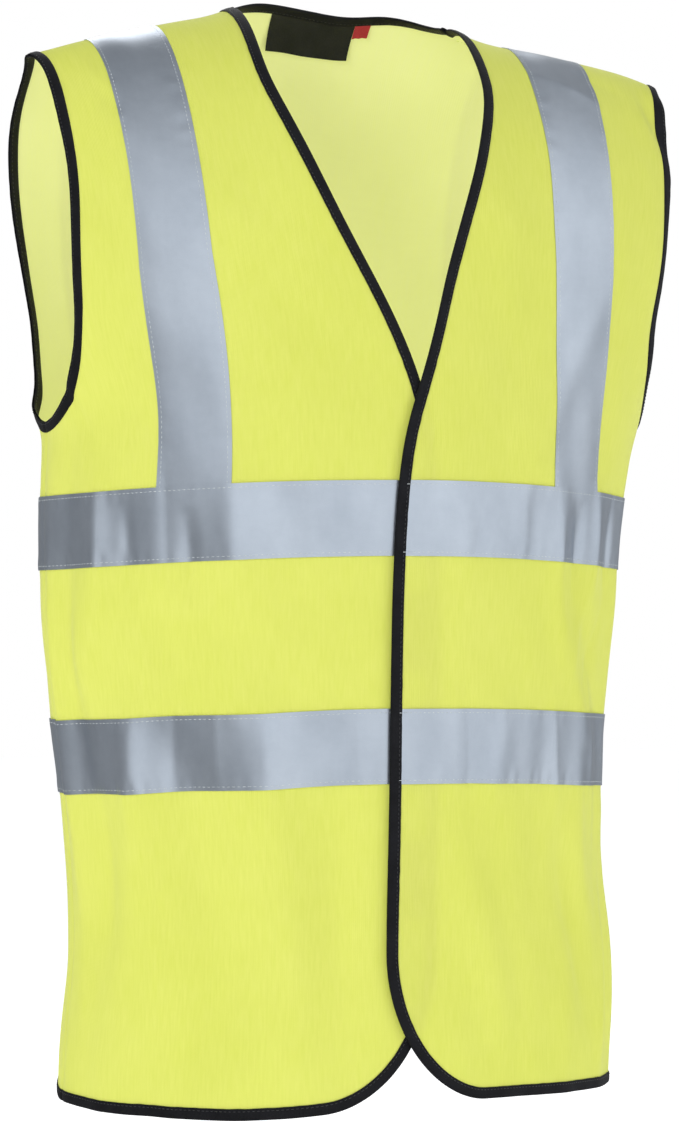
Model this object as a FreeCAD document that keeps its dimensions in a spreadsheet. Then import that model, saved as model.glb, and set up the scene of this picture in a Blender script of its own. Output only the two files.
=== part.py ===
import FreeCAD, Part
import Sketcher
import math
import os

# High visibility waistcoat, worn shape, in millimetres.
# +X is the wearer's left, -Y the front, +Z up.  The origin lies midway between the two
# points where the shoulder seams meet the neck, which is where a hanger carries the garment.

Vector = FreeCAD.Vector
doc = FreeCAD.newDocument("high_visibility_vest")

# ---------------------------------------------------------------- driving dimensions

DIMENSIONS = [
    ("neck_half_width", 85.0, "neck point to centre line"),
    ("neck_rise", 30.0, "ridge above the neck points at the centre line"),
    ("neck_rise_reach", 110.0, "where that rise ends"),
    ("neck_depth_back", 58.0, "back of the neck opening behind the neck points"),
    ("shoulder_fall", 0.25, "drop of the shoulder ridge per unit of reach"),
    ("shoulder_round", 30.0, "softening where the ridge starts to fall"),
    ("shoulder_cap", 165.0, "height over which the cloth rounds over the shoulder"),
    ("half_width_top", 263.0, "half width of the section at the neck points"),
    ("half_width_chest", 204.0, "half width at chest level"),
    ("half_width_waist", 191.0, "half width at waist level"),
    ("half_width_hem", 196.0, "half width at the hem"),
    ("front_depth_top", 114.0, "front depth at the neck points"),
    ("front_depth_chest", 143.0, "front depth at chest level"),
    ("front_depth_waist", 129.0, "front depth at waist level"),
    ("front_depth_hem", 134.0, "front depth at the hem"),
    ("back_depth_top", 112.0, "back depth at the neck points"),
    ("back_depth_chest", 128.0, "back depth at chest level"),
    ("back_depth_hem", 122.0, "back depth at the hem"),
    ("depth_chest", 320.0, "chest level below the neck points"),
    ("width_chest", 400.0, "level where the half width of the chest is met"),
    ("depth_waist", 620.0, "waist level below the neck points"),
    ("depth_hem", 745.0, "hem level below the neck points"),
    ("hem_lift_front", 7.0, "rise of the hem at the front"),
    ("cloth_thickness", 0.8, "panel cloth"),
    ("layer_gap", 0.15, "free space between two sewn layers"),
    ("tape_thickness", 0.4, "reflective tape"),
    ("tape_width", 50.0, "reflective tape"),
    ("band_upper", 361.0, "upper band's middle below the neck points, at the side"),
    ("band_lower", 512.0, "lower band's middle below the neck points, at the side"),
    ("band_lift_front", 9.0, "rise of both bands at the front"),
    ("brace_reach_top", 156.0, "brace middle to centre line at the shoulder"),
    ("brace_reach_low", 136.0, "brace middle to centre line at the upper band"),
    ("brace_tuck", 12.0, "length of brace end under the upper band"),
    ("front_lap", 17.0, "each front's edge past the centre line"),
    ("lap_lift", 1.8, "each front's distance from the middle surface at the lap"),
    ("vee_slope", 0.43, "sideways run of the neck edge per unit of height"),
    ("vee_bottom", 290.0, "foot of the V below the neck points"),
    ("vee_round", 45.0, "softening at the foot of the V"),
    ("neck_round", 8.0, "softening where the V meets the neck"),
    ("corner_start", 640.0, "where the front edge starts to round into the hem"),
    ("corner_width", 76.0, "width of the rounded front corner"),
    ("armhole_top", 36.0, "shoulder end below the neck points"),
    ("armhole_middle", 205.0, "widest level of the armhole below the neck points"),
    ("armhole_bottom", 292.0, "foot of the armhole below the neck points"),
    ("armhole_half_width", 65.0, "front to back, half"),
    ("binding_width", 7.6, "binding on the cloth"),
    ("binding_lip", 0.95, "binding past the cut edge"),
    ("binding_thickness", 2.3, "over both folds"),
    ("edge_trim", 1.7, "cloth cut back inside the neck and armhole bindings"),
    ("seam_width", 10.0, "seam allowance"),
    ("seam_thickness", 0.8, "seam allowance"),
    ("hinge_top_reach", 66.0, "fold line to centre line at its top"),
    ("hinge_top_drop", 90.0, "top of the fold line below the neck points"),
    ("hinge_low_reach", 146.0, "fold line to centre line at the hem"),
    ("hinge_top_proud", 140.5, "fold line in front of the origin at its top"),
    ("hinge_low_proud", 113.5, "fold line in front of the origin at the hem"),
    ("fold_gap", 0.8, "free space along the fold line"),
    ("patch_width", 14.0, "hook and loop patch"),
    ("patch_length", 50.0, "hook and loop patch"),
    ("patch_thickness", 0.9, "hook and loop patch"),
    ("patch_first", 427.0, "first patch's middle below the neck points"),
    ("patch_pitch", 165.0, "distance between patches"),
    ("label_width", 65.0, "neck label"),
    ("label_height", 30.0, "neck label"),
    ("label_thickness", 0.8, "neck label"),
    ("label_tuck", 4.5, "label's sewn edge below the neck's cut edge, on the cloth"),
    ("label_room", 0.6, "label inside the binding"),
    ("tab_width", 11.5, "size tab"),
    ("tab_height", 13.0, "size tab"),
    ("tab_gap", 0.3, "size tab beside the label"),
    ("care_width", 38.0, "care label"),
    ("care_height", 62.0, "care label"),
    ("care_thickness", 0.5, "care label"),
    ("care_drop", 560.0, "care label's upper edge below the neck points"),
    ("care_reach", 184.0, "care label's sewn edge to centre line"),
    ("care_back", 8.0, "care label's sewn edge behind the centre"),
    ("care_turn", 24.0, "care label's turn away from the side plane"),
]

sheet = doc.addObject("Spreadsheet::Sheet", "sizes")
for row, (name, value, meaning) in enumerate(DIMENSIONS, start=1):
    sheet.set("A%d" % row, meaning)
    sheet.set("B%d" % row, str(value))
    sheet.setAlias("B%d" % row, name)
doc.recompute()


def size(name):
    return float(sheet.get(name))


NECK = size("neck_half_width")
CAP = size("shoulder_cap")
HEM = -size("depth_hem")
CLOTH = size("cloth_thickness") / 2
TAPE = size("tape_thickness")
GAP = size("layer_gap")
LAP = size("front_lap")
LEFT = 1
RIGHT = -1
QUARTER = math.pi / 2
PAST = 60.0          # how far a cutting solid reaches past the garment
DEEP = 300.0         # how far a cutting solid reaches to the front or side
NEAR_SEAM = 0.002    # angle left free at a seam, in radians
EPSILON = 0.01       # step for numerical slopes
SETTLING = 10        # rounds that bring a height and its reach into step
DOWN_STEPS = 20      # steps of a walk down the back
HALVINGS = 40        # rounds that home in on a point of the surface

# How many points each curve is drawn through.
CAP_POINTS = 13          # a front's edge over the shoulder cap
EDGE_POINTS = 22         # a front's edge from the cap to the corner
CORNER_POINTS = 10
HEM_POINTS = 12          # half of the front hem
ROUND_HEM_POINTS = 41    # the hem all the way round
NECK_POINTS = 17
ARMHOLE_POINTS = 49

# How many columns and rows each cloth grid has.
FRONT_COLUMNS = 45
BACK_COLUMNS = 73
PANEL_ROWS = (31, 15)    # below the cap, over the cap
FRONT_BAND_COLUMNS = 31
BACK_BAND_COLUMNS = 27
BRACE_ROWS = (10, 15)    # below the cap, over the cap
TAPE_STEPS = 5           # across a tape
SEAM_STEPS = 3           # across a seam allowance
SHOULDER_SEAM_POINTS = 8
SIDE_SEAM_POINTS = 14
LABEL_COLUMNS = 13
LABEL_ROWS = 9

# ---------------------------------------------------------------- the worn surface


def ease(levels, values, height):
    """Value at a height, with level tangents where the listed levels are."""
    for top, low, start, end in zip(levels, levels[1:], values, values[1:]):
        if height >= low:
            share = min(max((top - height) / (top - low), 0.0), 1.0)
            return start + (end - start) * math.sin(QUARTER * share) ** 2
    return values[-1]


WIDTH_LEVELS = [0.0, -size("width_chest"), -size("depth_waist"), HEM]
WIDTHS = [size("half_width_" + level) for level in ("top", "chest", "waist", "hem")]
FRONT_LEVELS = [0.0, -size("depth_chest"), -size("depth_waist"), HEM]
FRONTS = [size("front_depth_" + level) for level in ("top", "chest", "waist", "hem")]
BACK_LEVELS = [0.0, -size("depth_chest"), HEM]
BACKS = [size("back_depth_" + level) for level in ("top", "chest", "hem")]


def half_width(z):
    return ease(WIDTH_LEVELS, WIDTHS, z)


def depth(z, front):
    if front:
        return ease(FRONT_LEVELS, FRONTS, z)
    return ease(BACK_LEVELS, BACKS, z)


def ramp(run, softness):
    """Zero far below, the run itself far above, rounded between."""
    return (run + math.hypot(run, softness)) / 2


NECK_REACH = NECK - ramp(0.0, size("neck_round"))


def ridge(x):
    """Height of the shoulder line above a distance from the centre line."""
    reach = abs(x)
    share = min(reach / size("neck_rise_reach"), 1.0)
    rise = size("neck_rise") * math.cos(QUARTER * share) ** 2
    return rise - size("shoulder_fall") * ramp(reach - NECK, size("shoulder_round"))


def cap_share(x, z):
    """0 where the cloth hangs straight, 1 on the shoulder line."""
    return max(0.0, (z - ridge(x) + CAP) / CAP)


def field(p):
    """Zero on the middle surface of the cloth, negative inside."""
    across = p.x / half_width(p.z)
    along = p.y / depth(p.z, p.y < 0)
    return along ** 2 - (1 - across ** 2) * (1 - cap_share(p.x, p.z) ** 2)


def slope_of_field(p):
    parts = []
    for step in (Vector(EPSILON, 0, 0), Vector(0, EPSILON, 0), Vector(0, 0, EPSILON)):
        parts.append((field(p + step) - field(p - step)) / (2 * EPSILON))
    return Vector(*parts)


def normal(p):
    slope = slope_of_field(p)
    return slope / slope.Length


def settle(p):
    """Nearest point of the middle surface."""
    for _ in range(5):
        slope = slope_of_field(p)
        p = p - slope * (field(p) / slope.Length ** 2)
    return p


def at_angle(angle, z):
    """Surface point at a height; angle 0 is the front, a quarter turn the wearer's left."""
    x = half_width(z) * math.sin(angle)
    front = math.cos(angle) > 0
    round_off = math.sqrt(max(0.0, 1 - cap_share(x, z) ** 2))
    return Vector(x, -depth(z, front) * math.cos(angle) * round_off, z)


def at_row(angle, row, low):
    """Surface point on a row: 0 is the low level, 1 where the cap starts, 2 the ridge."""
    z = low
    for _ in range(SETTLING):
        x = half_width(z) * math.sin(angle)
        start = ridge(x) - CAP
        if row <= 1:
            z = low + (start - low) * row
            turn = 0.0
        else:
            turn = QUARTER * (row - 1)
            z = start + CAP * math.sin(turn)
    front = math.cos(angle) > 0
    return Vector(x, -depth(z, front) * math.cos(angle) * math.cos(turn), z)


def angle_at(x, z, front=True):
    angle = math.asin(x / half_width(z))
    return angle if front else math.pi - angle


def lap_offset(x, side):
    """The wearer's left front lies over the right one near the centre line."""
    start, full = 4 * LAP, LAP + 1
    share = min(max((start - side * x) / (start - full), 0.0), 1.0)
    return side * size("lap_lift") * math.sin(QUARTER * share) ** 2


# ---------------------------------------------------------------- solids from cloth paths


def closed(faces):
    shell = Part.makeCompound(faces)
    shell.sewShape()
    solid = Part.makeSolid(shell.Shells[0] if shell.Shells else shell)
    if solid.Volume < 0:
        solid.reverse()
    return solid


def lifted(p, height, side):
    offset = height + (lap_offset(p.x, side) if side and p.y < 0 else 0.0)
    return p + normal(p) * offset


def sheet_solid(points, low, high, side=0):
    """A thin solid over a grid of surface points, between two heights off the surface."""
    surfaces = []
    for height in (low, high):
        grid = [[lifted(p, height, side) for p in line] for line in points]
        surface = Part.BSplineSurface()
        surface.interpolate(grid)
        surfaces.append(surface)
    borders = []
    for surface in surfaces:
        u0, u1, v0, v1 = surface.bounds()
        curves = (surface.uIso(u0), surface.uIso(u1), surface.vIso(v0), surface.vIso(v1))
        borders.append([curve.toShape() for curve in curves])
    faces = [surface.toShape() for surface in surfaces]
    faces += [Part.makeRuledSurface(a, b) for a, b in zip(*borders)]
    return closed(faces)


def span(start, end, count):
    return [start + (end - start) * i / (count - 1) for i in range(count)]


CHANNEL = [  # (distance in from the cut edge, height off the surface) round the fold
    ("lip", "under"), ("inner", "under"), ("inner", "under_slot"), ("slot", "under_slot"),
    ("slot", "over_slot"), ("inner", "over_slot"), ("inner", "over"), ("lip", "over"),
]
CHANNEL_CAPS = [(0, 1, 2, 3), (0, 3, 4, 7), (7, 4, 5, 6)]


def binding_solid(path, side=0, inward=1):
    """A folded binding along a cut edge; inward says which hand of the path the cloth is."""
    slot = CLOTH + GAP
    outer = size("binding_thickness") / 2
    runs = {"lip": -size("binding_lip"), "slot": -GAP, "inner": size("binding_width")}
    heights = {"under": -outer, "under_slot": -slot, "over_slot": slot, "over": outer}
    rails = [[] for _ in CHANNEL]
    for i, p in enumerate(path):
        along = path[min(i + 1, len(path) - 1)] - path[max(i - 1, 0)]
        across = normal(p).cross(along)
        across = across * (inward / across.Length)
        for rail, (run, height) in zip(rails, CHANNEL):
            foot = settle(p + across * runs[run])
            rail.append(lifted(foot, heights[height], side))
    edges = []
    for rail in rails:
        curve = Part.BSplineCurve()
        curve.interpolate(rail)
        edges.append(curve.toShape())
    faces = []
    for i, edge in enumerate(edges):
        faces.append(Part.makeRuledSurface(edge, edges[(i + 1) % len(edges)]))
    for end in (0, -1):
        for a, b, c, d in CHANNEL_CAPS:
            first = Part.makeLine(rails[a][end], rails[b][end])
            second = Part.makeLine(rails[d][end], rails[c][end])
            faces.append(Part.makeRuledSurface(first, second))
    return closed(faces)


# ---------------------------------------------------------------- outlines


def vee_reach(z):
    """Distance of the front's cut edge from the centre line, positive on its own side."""
    line = size("vee_slope") * ramp(z + size("vee_bottom"), size("vee_round")) - LAP
    return NECK - ramp(NECK - line, size("neck_round"))


def hem_height(angle):
    lift = size("hem_lift_front") if math.cos(angle) > 0 else 0.0
    return HEM + lift * math.cos(angle) ** 2


def front_outline(side):
    """Cut edge of one front as surface points: neck point, V, front edge, corner, hem."""
    points = []
    for turn in span(QUARTER, 0.0, CAP_POINTS):
        z = ridge(NECK) - CAP * (1 - math.sin(turn))
        for _ in range(SETTLING):
            x = side * vee_reach(z)
            z = ridge(x) - CAP * (1 - math.sin(turn))
        angle = angle_at(x, z)
        y = -depth(z, True) * math.cos(angle) * math.cos(turn)
        points.append(Vector(x, y, z))
    straight = -size("corner_start")
    for z in span(points[-1].z, straight, EDGE_POINTS)[1:]:
        points.append(at_angle(angle_at(side * vee_reach(z), z), z))
    middle = vee_reach(straight) + size("corner_width")
    joint = angle_at(middle, HEM)
    fall = straight - hem_height(joint)
    for turn in span(0.0, QUARTER, CORNER_POINTS)[1:]:
        x = side * (middle - size("corner_width") * math.cos(turn))
        z = straight - fall * math.sin(turn)
        points.append(at_angle(angle_at(x, z), z))
    for angle in span(joint, QUARTER, HEM_POINTS)[1:]:
        points.append(at_angle(side * angle, hem_height(angle)))
    return points


def back_point(x, y):
    """Surface point on the back of the shoulder cap."""
    z = 0.0
    for _ in range(SETTLING):
        reach = depth(z, False) * math.cos(angle_at(x, z))
        z = ridge(x) - CAP * (1 - math.sqrt(1 - (y / reach) ** 2))
    return Vector(x, y, z)


def back_neck():
    """Back edge of the neck opening, from the wearer's left to the right."""
    points = []
    for turn in span(0.0, math.pi, NECK_POINTS):
        x = NECK_REACH * math.cos(turn)
        points.append(back_point(x, size("neck_depth_back") * math.sin(turn)))
    return points


def down_the_back(x, distance):
    """Surface point a distance down the back from the neck's cut edge."""
    y = size("neck_depth_back") * math.sqrt(1 - (x / NECK_REACH) ** 2)
    p = back_point(x, y)
    for _ in range(DOWN_STEPS):
        along = Vector(-1, 0, 0).cross(normal(p))
        p = back_point(x, p.y + along.y / along.Length * distance / DOWN_STEPS)
    return p


def armhole_height(turn, trim=0.0):
    """Height of the armhole's outline; a full turn starts and ends at its foot."""
    middle = -size("armhole_middle")
    foot, top = -size("armhole_bottom") - trim, -size("armhole_top") + trim
    if math.cos(turn) > 0:
        return middle + (foot - middle) * math.cos(turn)
    return middle + (top - middle) * -math.cos(turn)


def armhole(side):
    """The armhole's edge on the surface: up the front and down the back."""
    points = []
    for turn in span(NEAR_SEAM, 2 * math.pi - NEAR_SEAM, ARMHOLE_POINTS):
        y = -size("armhole_half_width") * math.sin(turn)
        z = armhole_height(turn)
        near, far = NECK, size("half_width_top")
        for _ in range(HALVINGS):
            middle = (near + far) / 2
            if field(Vector(middle, y, z)) < 0:
                near = middle
            else:
                far = middle
        points.append(Vector(side * near, y, z))
    return points


# ---------------------------------------------------------------- cutting solids


def outline_prism(corners, direction):
    wire = Part.makePolygon(corners + [corners[0]])
    return Part.Face(wire).extrude(direction)


def helper(name, shape):
    item = doc.addObject("Part::Feature", name)
    item.Shape = shape
    return item


def smooth_prism(points, direction, closing=()):
    """Prism over a smooth line through points, closed by straight runs."""
    curve = Part.BSplineCurve()
    curve.interpolate(points)
    edges = [curve.toShape()]
    corners = [points[-1]] + list(closing) + [points[0]]
    for start, end in zip(corners, corners[1:]):
        edges.append(Part.makeLine(start, end))
    return Part.Face(Part.Wire(edges)).extrude(direction)


def front_keep(side):
    """Everything on the cloth side of one front's cut edge."""
    far = side * DEEP
    line = [Vector(p.x, 0, p.z) for p in front_outline(side)]
    line = [Vector(line[0].x, 0, PAST)] + line
    closing = [Vector(far, 0, line[-1].z), Vector(far, 0, PAST)]
    return smooth_prism(line, Vector(0, -DEEP, 0), closing)


def armhole_cut(side):
    trim = size("edge_trim")
    points = []
    for turn in span(0.0, 2 * math.pi, ARMHOLE_POINTS):
        y = -(size("armhole_half_width") + trim) * math.sin(turn)
        points.append(Vector(side * NECK, y, armhole_height(turn, trim)))
    curve = Part.BSplineCurve()
    curve.interpolate(points[:-1], PeriodicFlag=True)
    face = Part.Face(Part.Wire([curve.toShape()]))
    return face.extrude(Vector(side * DEEP, 0, 0))


def neck_cut():
    trim = size("edge_trim")
    reach = NECK_REACH + trim
    points = []
    for turn in span(0.0, math.pi, NECK_POINTS):
        y = (size("neck_depth_back") + trim) * math.sin(turn)
        points.append(Vector(reach * math.cos(turn), y, -PAST))
    closing = [Vector(-reach, -PAST, -PAST), Vector(reach, -PAST, -PAST)]
    return smooth_prism(points, Vector(0, 0, 2 * PAST), closing)


def fold_reach(z):
    """Distance of the fold line from the centre line at a height."""
    top, low = -size("hinge_top_drop"), HEM
    share = (top - z) / (top - low)
    return size("hinge_top_reach") + (size("hinge_low_reach") - size("hinge_top_reach")) * share


def flap_zone(margin):
    """The part of the front between the two fold lines, widened by a margin."""
    low, high, front = HEM - PAST, PAST, -DEEP
    corners = []
    for side, z in ((LEFT, low), (LEFT, high), (RIGHT, high), (RIGHT, low)):
        corners.append(Vector(side * (fold_reach(z) + margin), front, z))
    return outline_prism(corners, Vector(0, DEEP - PAST / 2, 0))


# ---------------------------------------------------------------- document objects

parts = {}


def keep(label, item):
    item.Label = label
    parts[label] = item
    return item


def cloth_piece(label, shape):
    item = doc.addObject("Part::Feature", label)
    item.Shape = shape
    item.Placement = FreeCAD.Placement()
    return keep(label, item)


def boolean(kind, name, base, tool):
    item = doc.addObject("Part::" + kind, name)
    item.Base = base
    item.Tool = tool
    return item


margin = size("fold_gap") / 2
outside_folds = helper("outside_folds", flap_zone(margin))
inside_folds = helper("inside_folds", flap_zone(-margin))


def split_at_fold(name, whole, side_label, flap_label):
    """One piece of a front becomes a fixed side part and a part of the opening flap."""
    keep(side_label, boolean("Cut", name + "_side_cut", whole, outside_folds))
    keep(flap_label, boolean("Common", name + "_flap_cut", whole, inside_folds))


# ---------------------------------------------------------------- panels

BELOW_HEM = HEM - 2 * size("binding_width")


def blank(first, last, columns):
    rows = span(0.0, 1.0, PANEL_ROWS[0]) + span(1.0, 2.0 - NEAR_SEAM, PANEL_ROWS[1])[1:]
    angles = span(first, last, columns)
    return [[at_row(angle, row, BELOW_HEM) for row in rows] for angle in angles]


def front_panel(side, name):
    start = side * -2 * angle_at(LAP, -size("depth_waist"))
    end = side * (QUARTER - NEAR_SEAM)
    whole = helper(name + "_blank", sheet_solid(blank(start, end, FRONT_COLUMNS), -CLOTH, CLOTH, side))
    shaped = boolean("Common", name + "_outline", whole, helper(name + "_keep", front_keep(side)))
    holed = boolean("Cut", name + "_armhole", shaped, armhole_tools[side])
    split_at_fold(name, holed, name + "_side", name + "_flap")


def back_panel():
    rows = blank(QUARTER + NEAR_SEAM, 3 * QUARTER - NEAR_SEAM, BACK_COLUMNS)
    whole = helper("back_blank", sheet_solid(rows, -CLOTH, CLOTH))
    shaped = boolean("Cut", "back_neck_cut", whole, helper("neck_tool", neck_cut()))
    left = boolean("Cut", "back_left_armhole", shaped, armhole_tools[LEFT])
    holed = boolean("Cut", "back_right_armhole", left, armhole_tools[RIGHT])
    below = Part.makeBox(4 * DEEP, 2 * DEEP, PAST, Vector(-2 * DEEP, -DEEP, HEM - PAST))
    keep("back_panel", boolean("Cut", "back_hem", holed, helper("hem_tool", below)))


armhole_tools = {side: helper("armhole_tool", armhole_cut(side)) for side in (LEFT, RIGHT)}
back_panel()
front_panel(LEFT, "left_front")
front_panel(RIGHT, "right_front")

# ---------------------------------------------------------------- reflective tape

BRACE_LIFT = CLOTH + GAP
BAND_LIFT = BRACE_LIFT + TAPE + GAP
EDGE_ROOM = size("binding_width") + CLOTH


def band_middle(drop, angle):
    lift = size("band_lift_front") if math.cos(angle) > 0 else 0.0
    return -drop + lift * math.cos(angle) ** 2


def band_grid(drop, ends_of, columns):
    """Surface points of a band; ends_of gives its end angles at a height."""
    grid = []
    for share in span(0.0, 1.0, columns):
        line = []
        for step in span(-0.5, 0.5, TAPE_STEPS):
            first, last = ends_of(-drop + step * size("tape_width"))
            angle = first + (last - first) * share
            line.append(at_angle(angle, band_middle(drop, angle) + step * size("tape_width")))
        grid.append(line)
    return grid


def front_band(side, level):
    side_name = "left" if side == LEFT else "right"

    def ends(z):
        start = angle_at(side * (vee_reach(z) + EDGE_ROOM), z)
        return start, side * (QUARTER - NEAR_SEAM)

    grid = band_grid(size("band_" + level), ends, FRONT_BAND_COLUMNS)
    name = "%s_%s_band" % (side_name, level)
    whole = helper(name + "_whole", sheet_solid(grid, BAND_LIFT, BAND_LIFT + TAPE, side))
    split_at_fold(name, whole, name + "_side", name + "_flap")


def back_band(level):
    ends = (QUARTER + 2 * NEAR_SEAM, 3 * QUARTER - 2 * NEAR_SEAM)
    grid = band_grid(size("band_" + level), lambda z: ends, BACK_BAND_COLUMNS)
    cloth_piece("back_%s_band" % level, sheet_solid(grid, BAND_LIFT, BAND_LIFT + TAPE))


def brace(side, front, label):
    """Tape from the upper band to the shoulder seam."""
    middle = band_middle(size("band_upper"), QUARTER / 2 if front else math.pi)
    low = middle + size("tape_width") / 2 - size("brace_tuck")
    top_reach, low_reach = size("brace_reach_top"), size("brace_reach_low")
    grid = []
    rows = span(0.0, 1.0, BRACE_ROWS[0]) + span(1.0, 2.0 - 2 * NEAR_SEAM, BRACE_ROWS[1])[1:]
    for row in rows:
        reach = ease([0.0, low], [top_reach, low_reach], low * (1 - row / 2))
        z = low
        for _ in range(SETTLING):
            angle = angle_at(side * reach, z, front)
            z = at_row(angle, row, low).z
        slope = at_row(angle + EPSILON, row, low) - at_row(angle - EPSILON, row, low)
        arc = size("tape_width") * 2 * EPSILON / slope.Length
        steps = span(-0.5, 0.5, TAPE_STEPS)
        grid.append([at_row(angle + step * arc, row, low) for step in steps])
    cloth_piece(label, sheet_solid(grid, BRACE_LIFT, BRACE_LIFT + TAPE))


for level in ("upper", "lower"):
    back_band(level)
    front_band(LEFT, level)
    front_band(RIGHT, level)
for side, side_name in ((LEFT, "left"), (RIGHT, "right")):
    brace(side, True, side_name + "_front_brace")
    brace(side, False, side_name + "_back_brace")

# ---------------------------------------------------------------- bindings


# The neck's, the fronts' and the hem's bindings overrun the fold lines, where they are cut.
BINDING_START = -size("hinge_top_drop") / 3
BINDING_END = size("hinge_low_reach") * 1.2
NECK_BINDING_END = -size("hinge_top_drop") * 1.7
HEM_OVERRUN = 0.12


def neck_binding():
    left = [p for p in front_outline(LEFT) if p.z > NECK_BINDING_END]
    right = [p for p in front_outline(RIGHT) if p.z > NECK_BINDING_END]
    path = left[::-1] + back_neck()[1:-1] + right
    whole = helper("neck_binding_whole", binding_solid(path, inward=-1))
    keep("neck_binding", boolean("Cut", "neck_binding_ends", whole, outside_folds))


def front_binding(side, label):
    path = [p for p in front_outline(side) if p.z < BINDING_START and abs(p.x) < BINDING_END]
    whole = helper(label + "_whole", binding_solid(path, side, inward=side))
    keep(label, boolean("Common", label + "_ends", whole, inside_folds))


def hem_binding():
    first = angle_at(fold_reach(HEM), HEM) - HEM_OVERRUN
    angles = span(first, 4 * QUARTER - first, ROUND_HEM_POINTS)
    path = [at_angle(angle, hem_height(angle)) for angle in angles]
    whole = helper("hem_binding_whole", binding_solid(path, inward=1))
    keep("hem_binding", boolean("Cut", "hem_binding_ends", whole, outside_folds))


neck_binding()
front_binding(LEFT, "left_front_binding")
front_binding(RIGHT, "right_front_binding")
hem_binding()
cloth_piece("left_armhole_binding", binding_solid(armhole(LEFT), inward=-1))
cloth_piece("right_armhole_binding", binding_solid(armhole(RIGHT), inward=1))

# ---------------------------------------------------------------- seam allowances

SEAM_TOP = -CLOTH - GAP
SEAM_LOW = SEAM_TOP - size("seam_thickness")
BINDING_ROOM = size("binding_width") + 2.0


def shoulder_seam(side, label):
    first = NECK + BINDING_ROOM
    last = size("half_width_top")
    while ridge(last) < -size("armhole_top") + size("shoulder_fall") * BINDING_ROOM:
        last -= 1.0
    grid = []
    for x in span(first, last, SHOULDER_SEAM_POINTS):
        steps = span(-0.5, 0.5, SEAM_STEPS)
        across = [Vector(side * x, step * size("seam_width"), ridge(x)) for step in steps]
        grid.append([settle(p) for p in across])
    cloth_piece(label, sheet_solid(grid, SEAM_LOW, SEAM_TOP))


def side_seam(side, label):
    top = -size("armhole_bottom") - BINDING_ROOM
    grid = []
    for z in span(top, HEM + BINDING_ROOM, SIDE_SEAM_POINTS):
        steps = span(-0.5, 0.5, SEAM_STEPS)
        across = [Vector(side * half_width(z), step * size("seam_width"), z) for step in steps]
        grid.append([settle(p) for p in across])
    cloth_piece(label, sheet_solid(grid, SEAM_LOW, SEAM_TOP))


for side, side_name in ((LEFT, "left"), (RIGHT, "right")):
    shoulder_seam(side, side_name + "_shoulder_seam")
    side_seam(side, side_name + "_side_seam")

# ---------------------------------------------------------------- flat sewn-on pieces


def flat_piece(label, width_cell, height_cell, thickness_cell, hung):
    """A rectangle of woven tape: a sketch padded to its thickness.

    Local X is its width, local Y its height, local Z its thickness.  A hung piece has its
    upper edge on local Y = 0, any other one is centred.
    """
    body = doc.addObject("PartDesign::Body", label)
    outline = body.newObject("Sketcher::SketchObject", label + "_outline")
    planes = [f for f in body.Origin.OriginFeatures if f.Role == "XY_Plane"]
    outline.AttachmentSupport = [(planes[0], "")]
    outline.MapMode = "FlatFace"
    width, height = size(width_cell), size(height_cell)
    top = 0.0 if hung else height / 2
    corners = [(-width / 2, top - height), (width / 2, top - height), (width / 2, top), (-width / 2, top)]
    for (x0, y0), (x1, y1) in zip(corners, corners[1:] + corners[:1]):
        outline.addGeometry(Part.LineSegment(Vector(x0, y0, 0), Vector(x1, y1, 0)))
    for edge in range(4):
        outline.addConstraint(Sketcher.Constraint("Coincident", edge, 2, (edge + 1) % 4, 1))
    for edge, direction in enumerate(("Horizontal", "Vertical", "Horizontal", "Vertical")):
        outline.addConstraint(Sketcher.Constraint(direction, edge))
    named = [
        ("width", Sketcher.Constraint("DistanceX", 0, 1, 0, 2, width), width_cell),
        ("height", Sketcher.Constraint("DistanceY", 1, 1, 1, 2, height), height_cell),
        ("left", Sketcher.Constraint("DistanceX", 0, 1, -1, 1, width / 2), width_cell + " / 2"),
    ]
    if not hung:
        low = Sketcher.Constraint("DistanceY", 0, 1, -1, 1, height / 2)
        named.append(("low", low, height_cell + " / 2"))
    for name, constraint, formula in named:
        index = outline.addConstraint(constraint)
        outline.renameConstraint(index, name)
        outline.setExpression("Constraints." + name, "sizes." + formula)
    if hung:
        outline.addConstraint(Sketcher.Constraint("PointOnObject", 2, 1, -1))
    pad = body.newObject("PartDesign::Pad", label + "_pad")
    pad.Profile = outline
    pad.setExpression("Length", "sizes." + thickness_cell)
    return keep(label, body)


def closure_patch(label, side, number):
    """Hook patch inside the left front, or loop patch on the right front's outside."""
    z = -size("patch_first") - number * size("patch_pitch")
    middle = at_angle(0.0, z)
    out = normal(middle)
    lift = side * (size("lap_lift") - CLOTH - 2 * GAP)
    if side == LEFT:
        lift -= size("patch_thickness")
    body = flat_piece(label, "patch_width", "patch_length", "patch_thickness", hung=False)
    up = Vector(0, -out.z, out.y) * -1
    rotation = FreeCAD.Rotation(Vector(1, 0, 0), up, out, "ZXY")
    body.Placement = FreeCAD.Placement(middle + out * lift, rotation)


for number, name in enumerate(("upper", "lower")):
    closure_patch(name + "_hook_patch", LEFT, number)
    closure_patch(name + "_loop_patch", RIGHT, number)


def back_label(label, first, last, height, thickness):
    """A woven piece that lies inside the back, held at its upper edge under the binding."""
    outer = -size("binding_thickness") / 2 - size("label_room")
    tuck = size("label_tuck")
    grid = []
    for x in span(first, last, LABEL_COLUMNS):
        runs = span(tuck, tuck + height, LABEL_ROWS)
        grid.append([down_the_back(x, run) for run in runs])
    cloth_piece(label, sheet_solid(grid, outer - thickness, outer))
    return [lifted(column[0], outer - thickness, 0) for column in grid]


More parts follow.
